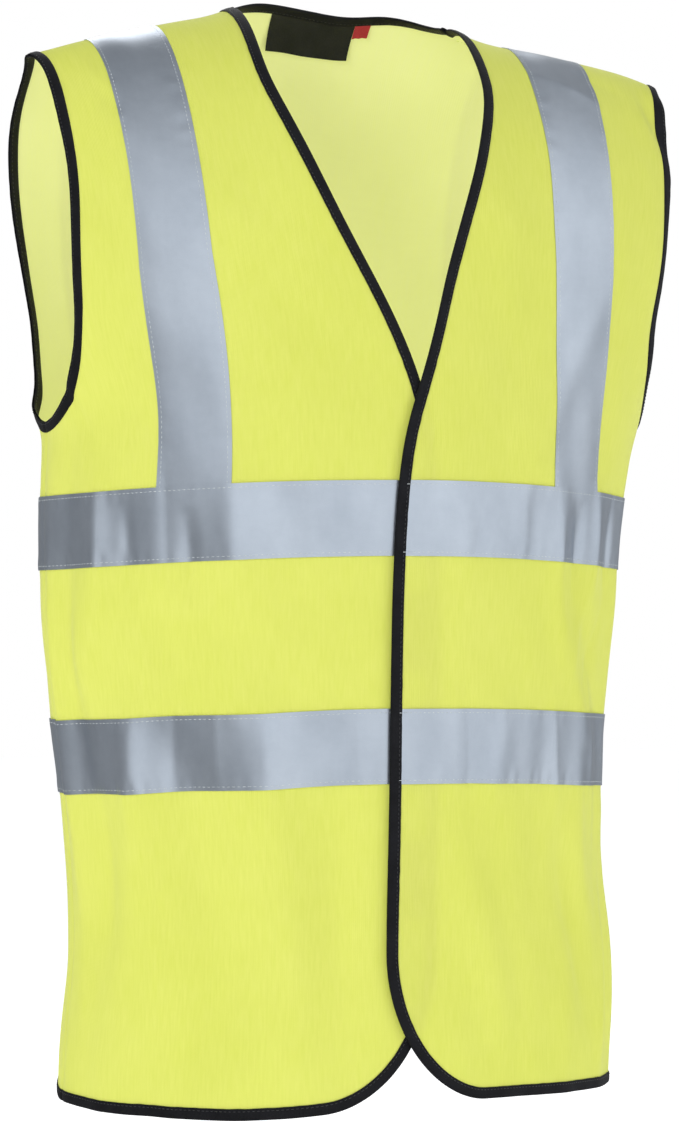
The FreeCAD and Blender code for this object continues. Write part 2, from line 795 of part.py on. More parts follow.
label_half = size("label_width") / 2
tab_start = label_half + size("tab_gap")
thin = size("label_thickness")
sewn_edge = back_label("neck_label", -label_half, label_half, size("label_height"), thin)
tab_end = tab_start + size("tab_width")
sewn_edge += back_label("size_tab", tab_start, tab_end, size("tab_height"), thin)
# the straight fold line clears the curved sewn edge, in front of it and level with its top
label_hinge = min(p.y for p in sewn_edge), max(p.z for p in sewn_edge)
print("neck label hinge: y %.2f z %.2f" % label_hinge)

UPRIGHT = FreeCAD.Rotation(Vector(1, 0, 0), 90)
care_body = flat_piece("care_label", "care_width", "care_height", "care_thickness", hung=True)
care_turn = 90.0 + size("care_turn")
care_rotation = FreeCAD.Rotation(Vector(0, 0, 1), care_turn).multiply(UPRIGHT)
care_middle = care_rotation.multVec(Vector(size("care_width") / 2, 0, 0))
care_edge = Vector(size("care_reach"), size("care_back"), -size("care_drop"))
care_body.Placement = FreeCAD.Placement(care_edge + care_middle, care_rotation)

# ---------------------------------------------------------------- checks and export

doc.recompute()
for item in doc.Objects:
    if "Invalid" in item.State or "Error" in item.State:
        raise RuntimeError("%s failed: %s" % (item.Label, item.State))
for label, item in parts.items():
    shape = item.Shape
    if shape.isNull() or not shape.isValid() or not shape.Solids:
        raise RuntimeError("%s has no valid solid" % label)

for share in span(0.0, 1.0, 9):
    z = -size("hinge_top_drop") + (HEM + size("hinge_top_drop")) * share
    line = size("hinge_top_proud") + (size("hinge_low_proud") - size("hinge_top_proud")) * share
    cloth = at_angle(angle_at(fold_reach(z), z), z)
    print("fold line at z %.0f stands %.1f in front of the cloth" % (z, line + cloth.y))

os.makedirs("parts", exist_ok=True)
for label, item in parts.items():
    item.Shape.exportStep("parts/%s.step" % label)
    print("%-26s %9.1f mm3  %d solid(s)" % (label, item.Shape.Volume, len(item.Shape.Solids)))
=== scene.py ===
import math
import random

import bpy
import numpy as np
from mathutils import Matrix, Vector


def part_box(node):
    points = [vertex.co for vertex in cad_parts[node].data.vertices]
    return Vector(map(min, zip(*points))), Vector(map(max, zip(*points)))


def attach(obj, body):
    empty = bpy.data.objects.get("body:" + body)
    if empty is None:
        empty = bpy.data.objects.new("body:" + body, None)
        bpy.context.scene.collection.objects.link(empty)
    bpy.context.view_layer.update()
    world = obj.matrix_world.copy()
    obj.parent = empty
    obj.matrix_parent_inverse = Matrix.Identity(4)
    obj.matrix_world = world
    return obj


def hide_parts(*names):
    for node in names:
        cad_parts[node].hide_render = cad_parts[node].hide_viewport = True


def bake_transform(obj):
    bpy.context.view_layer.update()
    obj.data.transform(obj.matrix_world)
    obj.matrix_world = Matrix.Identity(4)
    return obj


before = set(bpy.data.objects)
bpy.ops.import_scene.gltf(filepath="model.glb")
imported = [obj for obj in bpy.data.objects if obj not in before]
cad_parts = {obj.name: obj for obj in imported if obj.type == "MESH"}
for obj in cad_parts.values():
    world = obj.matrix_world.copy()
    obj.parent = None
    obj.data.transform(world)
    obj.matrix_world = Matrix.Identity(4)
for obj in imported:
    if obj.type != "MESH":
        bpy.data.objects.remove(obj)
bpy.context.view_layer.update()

# High visibility vest, worn shape, in metres.  +X is the wearer's left, -Y the front, +Z up.
# The cloth follows the same worn surface as the CAD frame; folds, puckers, seams, bindings,
# stitches and weave are added here.

MM = 0.001
LEFT, RIGHT = 1, -1
SIDE_NAMES = {LEFT: "left", RIGHT: "right", 0: "back"}
QUARTER = math.pi / 2

# ---- driving sizes of the frame

NECK = 85 * MM
NECK_RISE, NECK_RISE_REACH = 30 * MM, 110 * MM
NECK_BACK = 58 * MM
SHOULDER_FALL, SHOULDER_ROUND = 0.25, 30 * MM
CAP = 165 * MM
HEM, HEM_LIFT = -745 * MM, 7 * MM
WIDTH_LEVELS = [0.0, -0.400, -0.620, HEM]
WIDTHS = [0.263, 0.204, 0.191, 0.196]
FRONT_LEVELS = [0.0, -0.320, -0.620, HEM]
FRONTS = [0.114, 0.143, 0.129, 0.134]
BACK_LEVELS = [0.0, -0.320, HEM]
BACKS = [0.112, 0.128, 0.122]
LAP, LAP_LIFT = 17 * MM, 1.8 * MM
VEE_SLOPE, VEE_BOTTOM, VEE_ROUND, NECK_ROUND = 0.43, 0.290, 0.045, 8 * MM
CORNER_START, CORNER_WIDTH = -0.640, 76 * MM
ARM_TOP, ARM_MIDDLE, ARM_FOOT, ARM_HALF = -0.036, -0.205, -0.292, 0.065
TAPE_WIDTH = 50 * MM
BAND_LEVELS = {"upper": -0.361, "lower": -0.512}
BAND_LIFT_FRONT = 9 * MM
BRACE_TOP, BRACE_LOW, BRACE_TUCK = 0.156, 0.136, 12 * MM
BRACE_SKEW = 9 * MM      # both braces' tops are sewn this far to the wearer's right
PATCH_LEVELS = {"upper": -0.427, "lower": -0.592}

# heights off the middle of the cloth
CLOTH = 0.35 * MM
BRACE_LIFT = 0.50 * MM
BAND_LIFT = 0.95 * MM
TAPE = 0.32 * MM

# ---- the worn surface


def ease(levels, values, z):
    """Value at a height, level at each listed level."""
    out = np.full(np.shape(z), values[-1], float)
    for i in reversed(range(len(levels) - 1)):
        share = np.clip((levels[i] - z) / (levels[i] - levels[i + 1]), 0, 1)
        value = values[i] + (values[i + 1] - values[i]) * np.sin(QUARTER * share) ** 2
        out = np.where(z >= levels[i + 1], value, out)
    return out


def smooth(share):
    """From 0 to 1 with level ends."""
    return share * share * (3 - 2 * share)


def bell(away, width):
    return np.exp(-((away / width) ** 2))


def half_width(z):
    return ease(WIDTH_LEVELS, WIDTHS, z)


def depth(z, front):
    return np.where(front, ease(FRONT_LEVELS, FRONTS, z), ease(BACK_LEVELS, BACKS, z))


def ramp(run, softness):
    return (run + np.hypot(run, softness)) / 2


def ridge(x):
    """Height of the shoulder line."""
    reach = np.abs(x)
    rise = NECK_RISE * np.cos(QUARTER * np.minimum(reach / NECK_RISE_REACH, 1)) ** 2
    return rise - SHOULDER_FALL * ramp(reach - NECK, SHOULDER_ROUND)


def cap_share(x, z):
    return np.maximum(0, (z - ridge(x) + CAP) / CAP)


def field(p):
    """Zero on the middle surface of the cloth, negative inside."""
    x, y, z = p[..., 0], p[..., 1], p[..., 2]
    across, along = x / half_width(z), y / depth(z, y < 0)
    return along**2 - (1 - across**2) * (1 - cap_share(x, z) ** 2)


def slope_of_field(p):
    step = 0.01 * MM
    parts = []
    for axis in np.eye(3) * step:
        parts.append((field(p + axis) - field(p - axis)) / (2 * step))
    return np.stack(parts, -1)


def normal(p):
    slope = slope_of_field(p)
    return slope / np.linalg.norm(slope, axis=-1, keepdims=True)


def settle(p):
    """Nearest point of the middle surface."""
    for _ in range(4):
        slope = slope_of_field(p)
        p = p - slope * (field(p) / (slope**2).sum(-1))[..., None]
    return p


def at_row(angle, row, low):
    """Surface point: angle 0 is the front; row 0 the low level, 1 the cap's start, 2 the ridge."""
    angle, row = np.broadcast_arrays(np.asarray(angle, float), np.asarray(row, float))
    turn = QUARTER * np.clip(row - 1, 0, 1)
    z = np.zeros(angle.shape) + low
    for _ in range(8):
        x = half_width(z) * np.sin(angle)
        start = ridge(x) - CAP
        z = np.where(row <= 1, low + (start - low) * row, start + CAP * np.sin(turn))
    y = -depth(z, np.cos(angle) > 0) * np.cos(angle) * np.cos(turn)
    return np.stack([half_width(z) * np.sin(angle), y, z], -1)


def at_angle(angle, z):
    """Surface point at a height."""
    angle, z = np.broadcast_arrays(np.asarray(angle, float), np.asarray(z, float))
    x = half_width(z) * np.sin(angle)
    round_off = np.sqrt(np.maximum(0, 1 - cap_share(x, z) ** 2))
    return np.stack([x, -depth(z, np.cos(angle) > 0) * np.cos(angle) * round_off, z], -1)


def angle_at(x, z):
    return np.arcsin(np.clip(x / half_width(z), -1, 1))


def vee_reach(z):
    """Distance of a front's cut edge from the centre line."""
    line = VEE_SLOPE * ramp(z + VEE_BOTTOM, VEE_ROUND) - LAP
    return NECK - ramp(NECK - line, NECK_ROUND)


def hem_height(angle):
    return HEM + np.where(np.cos(angle) > 0, HEM_LIFT * np.cos(angle) ** 2, 0)


def band_middle(level, angle):
    lift = np.where(np.cos(angle) > 0, BAND_LIFT_FRONT * np.cos(angle) ** 2, 0)
    return BAND_LEVELS[level] + lift


CORNER_MIDDLE = float(vee_reach(CORNER_START)) + CORNER_WIDTH
CORNER_ANGLE = math.asin(CORNER_MIDDLE / float(half_width(HEM)))
CORNER_FALL = CORNER_START - float(hem_height(CORNER_ANGLE))
BACK_NECK_REACH = NECK - NECK_ROUND / 2


def brace_reach(z, low, side):
    """Distance of a brace's middle from the centre line."""
    top = BRACE_TOP - side * BRACE_SKEW
    return BRACE_LOW + (top - BRACE_LOW) * ease([0.0, low], [1.0, 0.0], z)


# ---- folds and puckers

# Soft folds, and crisp creases, of the draped cloth's front, in millimetres.  s is the distance
# round the body from the front middle (negative on the wearer's right), z the height:
# s and z of one end, s and z of the other, width, height.
FOLD_GAIN = 2.0
FOLDS = [
    (-305, -320, -285, -600, 20, 3), (-262, -300, -268, -560, 13, -1.6),
    (-222, -330, -232, -470, 14, 1.6), (-196, -348, -194, -400, 5.5, -1),
    (-146, -352, -143, -402, 5.5, -1.1), (-171, -340, -165, -420, 13, 0.9),
    (-120, -335, -112, -410, 10, 0.9), (-78, -350, -70, -450, 16, -0.9),
    (-200, -480, -212, -640, 16, 1.8), (-150, -500, -140, -700, 18, -1.5),
    (-95, -470, -85, -640, 18, 1.2), (-45, -440, -52, -720, 14, -0.8),
    (-255, -480, -262, -745, 18, -1.5), (-190, -680, -185, -760, 14, -1.2),
    (-110, -690, -118, -760, 14, 1), (-262, -262, -238, -300, 6, -1),
    (-205, -130, -215, -260, 14, 1.2), (-170, -180, -176, -300, 12, -0.8),
    (-60, -210, -78, -340, 22, 1), (60, -300, 110, -120, 16, -1.1),
    (85, -335, 150, -190, 14, 0.9), (46, -345, 49, -385, 7, -0.5),
    (98, -335, 94, -400, 10, -0.8), (128, -340, 124, -400, 8, 1.1),
    (150, -345, 150, -400, 6, -1.2), (176, -335, 178, -410, 9, 1.3),
    (203, -340, 205, -400, 7, -1.2), (235, -320, 240, -480, 13, 1.7),
    (276, -310, 282, -560, 15, -1.8), (120, -400, 215, -560, 11, 1.2),
    (150, -400, 250, -540, 10, -1), (75, -480, 62, -560, 11, 0.9),
    (120, -490, 116, -600, 13, -1.1), (168, -480, 172, -640, 14, 1.6),
    (222, -500, 232, -720, 18, -1.8), (150, -650, 146, -760, 14, 1.2),
    (90, -640, 94, -750, 13, -0.9), (262, -600, 266, -760, 15, 1.6),
    (23, -390, 21, -480, 4, -0.5), (19, -560, 20, -660, 4, -0.5),
    (185, -50, 215, -100, 8, -1.8), (200, -45, 245, -90, 7, 1.4),
    (-190, -45, -225, -85, 10, -1.2), (-215, -60, -235, -110, 8, 0.9),
    (250, -130, 235, -240, 13, 1.3), (218, -120, 222, -220, 10, -0.9),
    (-105, -430, -105, -600, 34, 4.2), (-118, -300, -112, -430, 28, 2.6),
    (-98, -558, -75, -728, 22, 3.2), (-136, -656, -153, -730, 14, -2.2),
    (-244, -546, -243, -640, 14, -2.6), (-188, -538, -183, -672, 18, 2.4),
    (-49, -552, -55, -716, 22, -2), (30, -566, 94, -710, 20, 2.4),
    (147, -564, 177, -682, 14, -2.8), (230, -590, 203, -732, 12, 2),
    (-246, -406, -251, -472, 16, 2), (-176, -400, -152, -466, 16, -1.8),
    (-73, -406, -61, -472, 22, 1.8), (-201, -486, -205, -566, 12, 1.8),
]
CREASES = [
    (-226, -326, -223, -398, 10, 2.6), (-115, -312, -112, -418, 12, 2.8),
    (-163, -320, -163, -396, 8, -1.4), (71, -320, 78, -386, 9, -1),
    (86, -326, 93, -386, 7, 1.3), (119, -326, 139, -468, 7, 1.8),
    (142, -332, 150, -390, 6, -1.4), (172, -328, 176, -392, 6, 1.7),
    (205, -330, 208, -390, 6, -1.5), (-95, -460, -95, -566, 11, 2.8),
    (-160, -466, -171, -572, 10, -1.8), (-129, -462, -131, -542, 9, 1.6),
    (-37, -462, -35, -542, 6, 1.6), (-30, -468, -28, -538, 5, -1.4),
    (28, -466, 33, -544, 5, 1.4), (40, -468, 47, -544, 5, -1.4),
    (128, -464, 140, -554, 7, 2.2), (185, -462, 190, -552, 6, 1.8),
    (5, -546, 7, -626, 4, -0.9), (-174, -46, -158, -68, 7, 1.5),
    (-175, -62, -155, -82, 6, -1.3), (95, -36, 143, -60, 8, 1.7),
    (122, -30, 164, -52, 6, -1.4), (164, -92, 191, -120, 9, 1.4),
    (174, -390, 142, -474, 6, 1.6), (212, -400, 170, -468, 6, -1.5),
]
BACK_FOLDS = 34          # drawn at random, mostly upright
CREST = 0.15             # how rounded a crease's crest is
ROUND_BODY = 0.2         # metres of arc per radian, for the fold coordinates
WAVES = [  # soft unevenness: waves per metre along s and z, phase, height in mm
    (11, 3, 0.4, 0.34), (7, 9, 2.1, 0.30), (23, 6, 4.0, 0.17), (17, 15, 1.2, 0.15), (31, 4, 5.2, 0.10),
]
PUCKER_WAVES = [(103, 0.0), (74, 1.7), (57, 3.9)]    # per metre along a seam, phase


def back_folds():
    draw = random.Random(11)
    folds = []
    for _ in range(BACK_FOLDS):
        s = draw.uniform(335, 920)
        z = draw.uniform(-660, -160)
        run = draw.uniform(60, 240)
        lean = draw.uniform(-0.16, 0.16)
        width = draw.uniform(10, 22)
        height = draw.choice((-1, 1)) * draw.uniform(1.2, 2.8)
        folds.append((s, z, s + lean * run, z - run, width, height))
    return folds


BACK_FOLD_LIST = back_folds()


def body_angle(p):
    """Angle round the body; 0 is the front, growing past the wearer's left to the back."""
    share = np.arcsin(np.clip(p[..., 0] / half_width(p[..., 2]), -1, 1))
    return np.where(p[..., 1] < 0, share, math.pi - share)


def fold_height(s, z, folds, crisp=False):
    total = np.zeros(np.shape(s))
    for fold in folds:
        s0, z0, s1, z1, width, height = np.array(fold) * MM
        run = np.array([s1 - s0, z1 - z0])
        share = np.clip(((s - s0) * run[0] + (z - z0) * run[1]) / (run @ run), 0, 1)
        away = np.hypot(s - s0 - share * run[0], z - z0 - share * run[1])
        end = 0.35 + 0.65 * np.sin(math.pi * share)
        if crisp:
            total += height * end * np.exp(CREST - np.sqrt((away / width) ** 2 + CREST**2))
        else:
            total += FOLD_GAIN * height * end * bell(away, width)
    return total


def seam_ripple(s):
    """Uneven ripple along a sewn line, -1 to 1."""
    total = sum(np.sin(2 * math.pi * count * s + phase) for count, phase in PUCKER_WAVES)
    gate = 0.55 + 0.45 * np.sin(2 * math.pi * 6.3 * s + 0.8) * np.sin(2 * math.pi * 2.9 * s + 2.0)
    return total / 3 * gate


STITCH_ROW = 21.5 * MM   # the tapes' stitch rows, from a tape's middle
BAND_PUCKERS = ((-STITCH_ROW, 0.62 * MM), (STITCH_ROW, 0.30 * MM))
BAND_PUCKER_WIDTH, BRACE_PUCKER_WIDTH = 5.5 * MM, 4.5 * MM
BRACE_PUCKER = 0.26 * MM


def pucker(p, s):
    """Cloth drawn in along the tapes' stitch rows."""
    z = p[..., 2]
    angle = body_angle(p)
    total = np.zeros(np.shape(z))
    for level in BAND_LEVELS:
        off = z - band_middle(level, angle)
        for row, height in BAND_PUCKERS:
            total += height * bell(off - row, BAND_PUCKER_WIDTH) * seam_ripple(s + 0.31 * row)
    front = p[..., 1] < 0
    low = BAND_LEVELS["upper"]
    reach = brace_reach(z, low, np.where(p[..., 0] < 0, RIGHT, LEFT))
    width = half_width(z)
    middle = np.arcsin(np.clip(reach / width, 0, 1))
    own = np.arcsin(np.clip(np.abs(p[..., 0]) / width, 0, 1))
    metric = np.hypot(width * np.cos(middle), depth(z, front) * np.sin(middle))
    off = (own - middle) * metric
    above = 1 / (1 + np.exp(-(z - low - 30 * MM) / (4 * MM)))
    for row in (-STITCH_ROW, STITCH_ROW):
        near = bell(off - row, BRACE_PUCKER_WIDTH) * above
        total += BRACE_PUCKER * near * seam_ripple(z * 0.83 + 7 * row)
    return total


SEAM_GROOVE, SEAM_GROOVE_WIDTH = 0.9 * MM, 2.4 * MM
SEAM_CALM = 20 * MM      # folds fade out this near the side and shoulder seams
CLOSURE_CALM_START, CLOSURE_CALM_RUN = 12 * MM, 30 * MM


def drape(p):
    """Height of the draped cloth over the smooth form."""
    z = p[..., 2]
    s = ROUND_BODY * body_angle(p)
    front = p[..., 1] < 0
    front_folds = fold_height(s, z, FOLDS) + fold_height(s, z, CREASES, True)
    folds = np.where(front, front_folds, fold_height(s, z, BACK_FOLD_LIST))
    waves = np.zeros(np.shape(z))
    for across, along, phase, height in WAVES:
        waves += height * MM * np.sin(2 * math.pi * (across * s + along * z) + phase)
    calm = smooth(np.clip(np.abs(p[..., 1]) / SEAM_CALM, 0, 1))
    middle = np.clip((np.abs(p[..., 0]) - CLOSURE_CALM_START) / CLOSURE_CALM_RUN, 0, 1)
    calm_middle = np.where(front, 0.25 + 0.75 * middle, 1)
    groove = -SEAM_GROOVE * bell(p[..., 1], SEAM_GROOVE_WIDTH)
    return (folds + waves) * calm * calm_middle + pucker(p, s) * calm_middle + groove


LEAN = 6 * MM            # the shoulders sit this far to the wearer's left
LEAN_START = -0.33
CLOSURE_SWAY = 8.5 * MM  # the closure hangs this far to the wearer's left
SHOULDER_OUT = 9.0 * MM  # the wearer's left armhole stands out this much more
PULLS = [  # middle x and z, reach x and z, shift x and z in mm; face: -1 front, 1 back, 0 both
    (88, -20, 50, 85, -8, 0, 0), (-50, -215, 60, 60, 4, 0, -1),
    (-225, -120, 45, 85, 11, 0, -1), (-235, -120, 60, 100, -6, 0, 1),
    (-205, -285, 40, 35, 8, 0, 0), (235, -200, 70, 110, 8, 0, 0),
    (248, -45, 30, 30, -8, -3, 0), (-200, -400, 90, 70, -4, 0, 0),
    (200, -460, 90, 80, -6, 0, 0), (200, -655, 90, 60, 6, 0, 0),
    (-200, -640, 90, 70, 3, 0, 0), (0, 0, 100, 50, 0, 3.6, 1),
    (-48, 0, 40, 50, 0, 9, 1), (68, 0, 40, 50, 0, 10.5, 1),
    (105, 0, 75, 60, 0, -7, 0), (-240, -30, 40, 35, 9, 0, 0),
    (-100, -745, 80, 50, 0, -8, -1), (0, -760, 350, 60, 0, 17, 1),
]
GATE_DEPTH = 50 * MM      # a pull on one face fades in over this, from the side seams


def pulled(p):
    """Sideways and upward shift where the worn garment departs from the smooth form."""
    x, y, z = p[..., 0], p[..., 1], p[..., 2]
    shift = np.zeros(p.shape)
    for *pull, face in PULLS:
        x0, z0, reach_x, reach_z, shift_x, shift_z = np.array(pull) * MM
        share = bell(x - x0, reach_x) * bell(z - z0, reach_z)
        if face:
            share = share * smooth(np.clip(face * y / GATE_DEPTH, 0, 1))
        shift[..., 0] += share * shift_x
        shift[..., 2] += share * shift_z
    return shift


def sway(p):
    """Sideways shift of the hanging garment."""
    x, z = p[..., 0], p[..., 2]
    top = np.clip((z - LEAN_START) / -LEAN_START, 0, 1)
    low = smooth(np.clip((-0.12 - z) / 0.16, 0, 1))
    closure = CLOSURE_SWAY * bell(x, 75 * MM)
    curl = 1.2 * MM * np.sin(2 * math.pi * (z + 0.31) / 0.33) * bell(x, 35 * MM)
    out = SHOULDER_OUT * np.clip((x - 0.14) / 0.10, 0, 1) ** 1.3 * top**0.7
    return LEAN * top**1.5 + out + (closure + curl) * low * (p[..., 1] < 0)


def lap_offset(p, side):
    """The wearer's left front lies over the right one near the centre line."""
    start, full = 4 * LAP, LAP + 1 * MM
    share = np.clip((start - side * p[..., 0]) / (start - full), 0, 1)
    return np.where(p[..., 1] < 0, side * LAP_LIFT * np.sin(QUARTER * share) ** 2, 0)


def place(p, height, side=0):
    """Worn position of a surface point lifted off the cloth's middle."""
    offset = height + drape(p)
    if side:
        offset = offset + lap_offset(p, side)
    out = p + normal(p) * np.asarray(offset)[..., None]
    out[..., 0] += sway(p)
    return out + pulled(p)


# ---- mesh making


def make_object(name, points, faces, materials, uv=None, face_slots=None, sharp=50):
    mesh = bpy.data.meshes.new(name)
    mesh.from_pydata([tuple(p) for p in np.asarray(points, float)], [], faces)
    for material in materials:
        mesh.materials.append(material)
    if face_slots is not None:
        mesh.polygons.foreach_set("material_index", np.asarray(face_slots, np.int32))
    if uv is not None:
        layer = mesh.uv_layers.new(name="flat")
        corner = np.zeros(len(mesh.loops), np.int32)
        mesh.loops.foreach_get("vertex_index", corner)
        layer.data.foreach_set("uv", np.asarray(uv, np.float32)[corner].ravel())
    mesh.polygons.foreach_set("use_smooth", np.ones(len(mesh.polygons), bool))
    mesh.set_sharp_from_angle(angle=math.radians(sharp))
    mesh.update()
    piece = bpy.data.objects.new(name, mesh)
    bpy.context.scene.collection.objects.link(piece)
    return piece


def rim_edges(faces):
    """Edges with one face, in that face's direction."""
    seen = {}
    for face in faces:
        for i, a in enumerate(face):
            b = face[(i + 1) % len(face)]
            if (b, a) in seen:
                del seen[(b, a)]
            else:
                seen[(a, b)] = True
    return list(seen)


def closed_sheet(name, outer, inner, faces, materials, uv):
    """A thin closed sheet: outer wall, inner wall and rim."""
    count, first = len(outer), faces[len(faces) // 2]
    a, b, c = (outer[i] for i in first[:3])
    if np.dot(np.cross(b - a, c - a), a - inner[first[0]]) < 0:
        faces = [face[::-1] for face in faces]
    walls = [[i + count for i in face[::-1]] for face in faces]
    edges = [[b, a, a + count, b + count] for a, b in rim_edges(faces)]
    slots = [0] * len(faces) + [min(1, len(materials) - 1)] * len(walls) + [0] * len(edges)
    points = np.concatenate([outer, inner])
    return make_object(name, points, faces + walls + edges, materials, np.concatenate([uv, uv]), slots)


def two_sided(name, base, faces, low, high, side, materials, uv=None):
    """A closed sheet between two heights over surface points."""
    uv = flat_uv(base) if uv is None else uv
    return closed_sheet(name, place(base, high, side), place(base, low, side), faces, materials, uv)


def grid_faces(n, m):
    faces = []
    for i in range(n - 1):
        for j in range(m - 1):
            a = i * m + j
            faces.append([a, a + m, a + m + 1, a + 1])
    return faces


def flat_uv(p):
    """Cloth coordinates in metres: round the body and up."""
    return np.stack([ROUND_BODY * body_angle(p), p[..., 2]], -1)


def trimmed(angles, keep):
    """Surface points and faces of a grid cut along keep() = 0, with keep() above 0 kept."""
    a, r = np.meshgrid(angles, PANEL_ROWS, indexing="ij")
    worth = keep(at_row(a, r, BELOW_HEM))
    inside = worth > 0
    number = np.full(inside.shape, -1)
    number[inside] = np.arange(inside.sum())
    params = [np.array(pair) for pair in zip(a[inside], r[inside])]
    crossing, faces = {}, []

    def cut(c, d):
        if (c, d) not in crossing:
            share = float(np.clip(worth[c] / (worth[c] - worth[d]), 0.06, 0.94))
            start, end = np.array([a[c], r[c]]), np.array([a[d], r[d]])
            crossing[(c, d)] = len(params)
            params.append(start + (end - start) * share)
        return crossing[(c, d)]

    for i in range(len(angles) - 1):
        for j in range(len(PANEL_ROWS) - 1):
            ring = [(i, j), (i + 1, j), (i + 1, j + 1), (i, j + 1)]
            state = [inside[c] for c in ring]
            if not any(state):
                continue
            polygon = []
            for k, c in enumerate(ring):
                d = ring[(k + 1) % 4]
                if inside[c]:
                    polygon.append(int(number[c]))
                if inside[c] != inside[d]:
                    polygon.append(cut(c, d) if inside[c] else cut(d, c))
            faces.append(polygon)
    params = np.array(params)
    return at_row(params[:, 0], params[:, 1], BELOW_HEM), faces


def resample(path, pitch, closed=False):
    """Points a pitch apart along a path of surface points."""
    path = np.asarray(path)
    if closed:
        path = np.concatenate([path, path[:1]])
    steps = np.linalg.norm(np.diff(path, axis=0), axis=1)
    along = np.concatenate([[0], np.cumsum(steps)])
    count = max(2, int(round(along[-1] / pitch)) + 1)
    wanted = np.linspace(0, along[-1], count)
    out = np.stack([np.interp(wanted, along, path[:, k]) for k in range(3)], -1)
    if closed:
        out = out[:-1]
    return settle(out)


def directions(points, closed=False):
    if closed:
        along = np.roll(points, -1, 0) - np.roll(points, 1, 0)
    else:
        along = np.gradient(points, axis=0)
    return along / np.linalg.norm(along, axis=1, keepdims=True)


# ---- materials


def new_material(name):
    material = bpy.data.materials.new(name)
    material.use_nodes = True
    nodes = material.node_tree.nodes
    nodes.clear()
    out = nodes.new("ShaderNodeOutputMaterial")
    shader = nodes.new("ShaderNodeBsdfPrincipled")
    material.node_tree.links.new(shader.outputs[0], out.inputs[0])
    return material, material.node_tree, shader, out


def link(tree, a, b):
    tree.links.new(a, b)


def set_inputs(node, values):
    for name, value in values.items():
        node.inputs[name].default_value = value


def mapped(tree, scale, source="flat"):
    """Coordinates in metres times a scale: the cloth's own, or the object's."""
    if source == "flat":
        start = tree.nodes.new("ShaderNodeUVMap")
        start.uv_map = "flat"
        output = start.outputs[0]
    else:
        output = tree.nodes.new("ShaderNodeTexCoord").outputs["Object"]
    mapping = tree.nodes.new("ShaderNodeMapping")
    mapping.inputs["Scale"].default_value = scale
    link(tree, output, mapping.inputs["Vector"])
    return mapping.outputs[0]


def noise(tree, per_metre, detail, rough=0.55, source="flat"):
    """Uneven tone, with so many features per metre along each direction."""
    node = tree.nodes.new("ShaderNodeTexNoise")
    set_inputs(node, {"Scale": 1.0, "Detail": detail, "Roughness": rough})
    link(tree, mapped(tree, per_metre, source), node.inputs["Vector"])
    return node.outputs["Fac"]


def wave(tree, pitch, direction, distortion=0.0, source="flat"):
    """Ribs a pitch apart, in metres."""
    node = tree.nodes.new("ShaderNodeTexWave")
    node.wave_type = "BANDS"
    node.bands_direction = direction
    set_inputs(node, {"Scale": math.pi / 10 / pitch, "Distortion": distortion, "Detail": 1.0})
    link(tree, mapped(tree, (1, 1, 1), source), node.inputs["Vector"])
    return node.outputs["Fac"]


def maths(tree, kind, a, b):
    node = tree.nodes.new("ShaderNodeMath")
    node.operation = kind
    for slot, value in zip(node.inputs, (a, b)):
        if isinstance(value, (int, float)):
            slot.default_value = value
        else:
            link(tree, value, slot)
    return node.outputs[0]


def weighted(tree, *terms):
    """Sum of values times their weights."""
    total = None
    for value, weight in terms:
        term = value if weight == 1 else maths(tree, "MULTIPLY", value, weight)
        total = term if total is None else maths(tree, "ADD", total, term)
    return total


def coloured(tree, factor, low, high, stops=(0.3, 0.7)):
    """Colour between two by a factor."""
    node = tree.nodes.new("ShaderNodeValToRGB")
    for element, position, colour in zip(node.color_ramp.elements, stops, (low, high)):
        element.position = position
        element.color = (*colour, 1)
    link(tree, factor, node.inputs[0])
    return node.outputs[0]


def bumped(tree, shader, height, distance, strength):
    node = tree.nodes.new("ShaderNodeBump")
    set_inputs(node, {"Distance": distance, "Strength": strength})
    link(tree, height, node.inputs["Height"])
    link(tree, node.outputs[0], shader.inputs["Normal"])


def mixed(tree, factor, first, second):
    """Two shaders mixed by a number or by a socket."""
    mix = tree.nodes.new("ShaderNodeMixShader")
    if isinstance(factor, float):
        mix.inputs[0].default_value = factor
    else:
        link(tree, factor, mix.inputs[0])
    link(tree, first, mix.inputs[1])
    link(tree, second, mix.inputs[2])
    return mix.outputs[0]


WALE_PITCH, COURSE_PITCH = 1.25 * MM, 0.85 * MM
KNIT_RELIEF = 0.09 * MM
TAPE_WEAVE, TAPE_RELIEF = 0.45 * MM, 0.035 * MM
THREAD_TWIST, THREAD_RELIEF = 0.5 * MM, 0.05 * MM


def cloth_material(name, deep, light, through, share, painted_glow):
    """Warp-knitted polyester: upright wales, fine courses, uneven dye, light passing through, and painted
    light: an emission in the pale dye colour that brightens the cloth by itself.
    """
    material, tree, shader, out = new_material(name)
    streaks = noise(tree, (620, 55, 1), 4.0)
    clouds = noise(tree, (9, 9, 1), 3.0)
    tone = weighted(tree, (streaks, 0.62), (clouds, 0.38))
    link(tree, coloured(tree, tone, deep, light, (0.15, 0.85)), shader.inputs["Base Color"])
    wales = wave(tree, WALE_PITCH, "X", 0.4)
    courses = wave(tree, COURSE_PITCH, "Y", 0.3)
    height = weighted(tree, (wales, 1), (courses, 0.5), (streaks, 0.6))
    bumped(tree, shader, height, KNIT_RELIEF, 0.7)
    # The emission is painted light: the cloth shines by itself in its pale dye colour.
    set_inputs(shader, {
        "Roughness": 0.82, "Specular IOR Level": 0.25,
        "Sheen Weight": 0.35, "Sheen Roughness": 0.35, "Sheen Tint": (1.0, 1.0, 0.80, 1),
        "Emission Color": (*light, 1), "Emission Strength": painted_glow,
    })
    passing = tree.nodes.new("ShaderNodeBsdfTranslucent")
    passing.inputs["Color"].default_value = (*through, 1)
    link(tree, mixed(tree, share, shader.outputs[0], passing.outputs[0]), out.inputs[0])
    return material


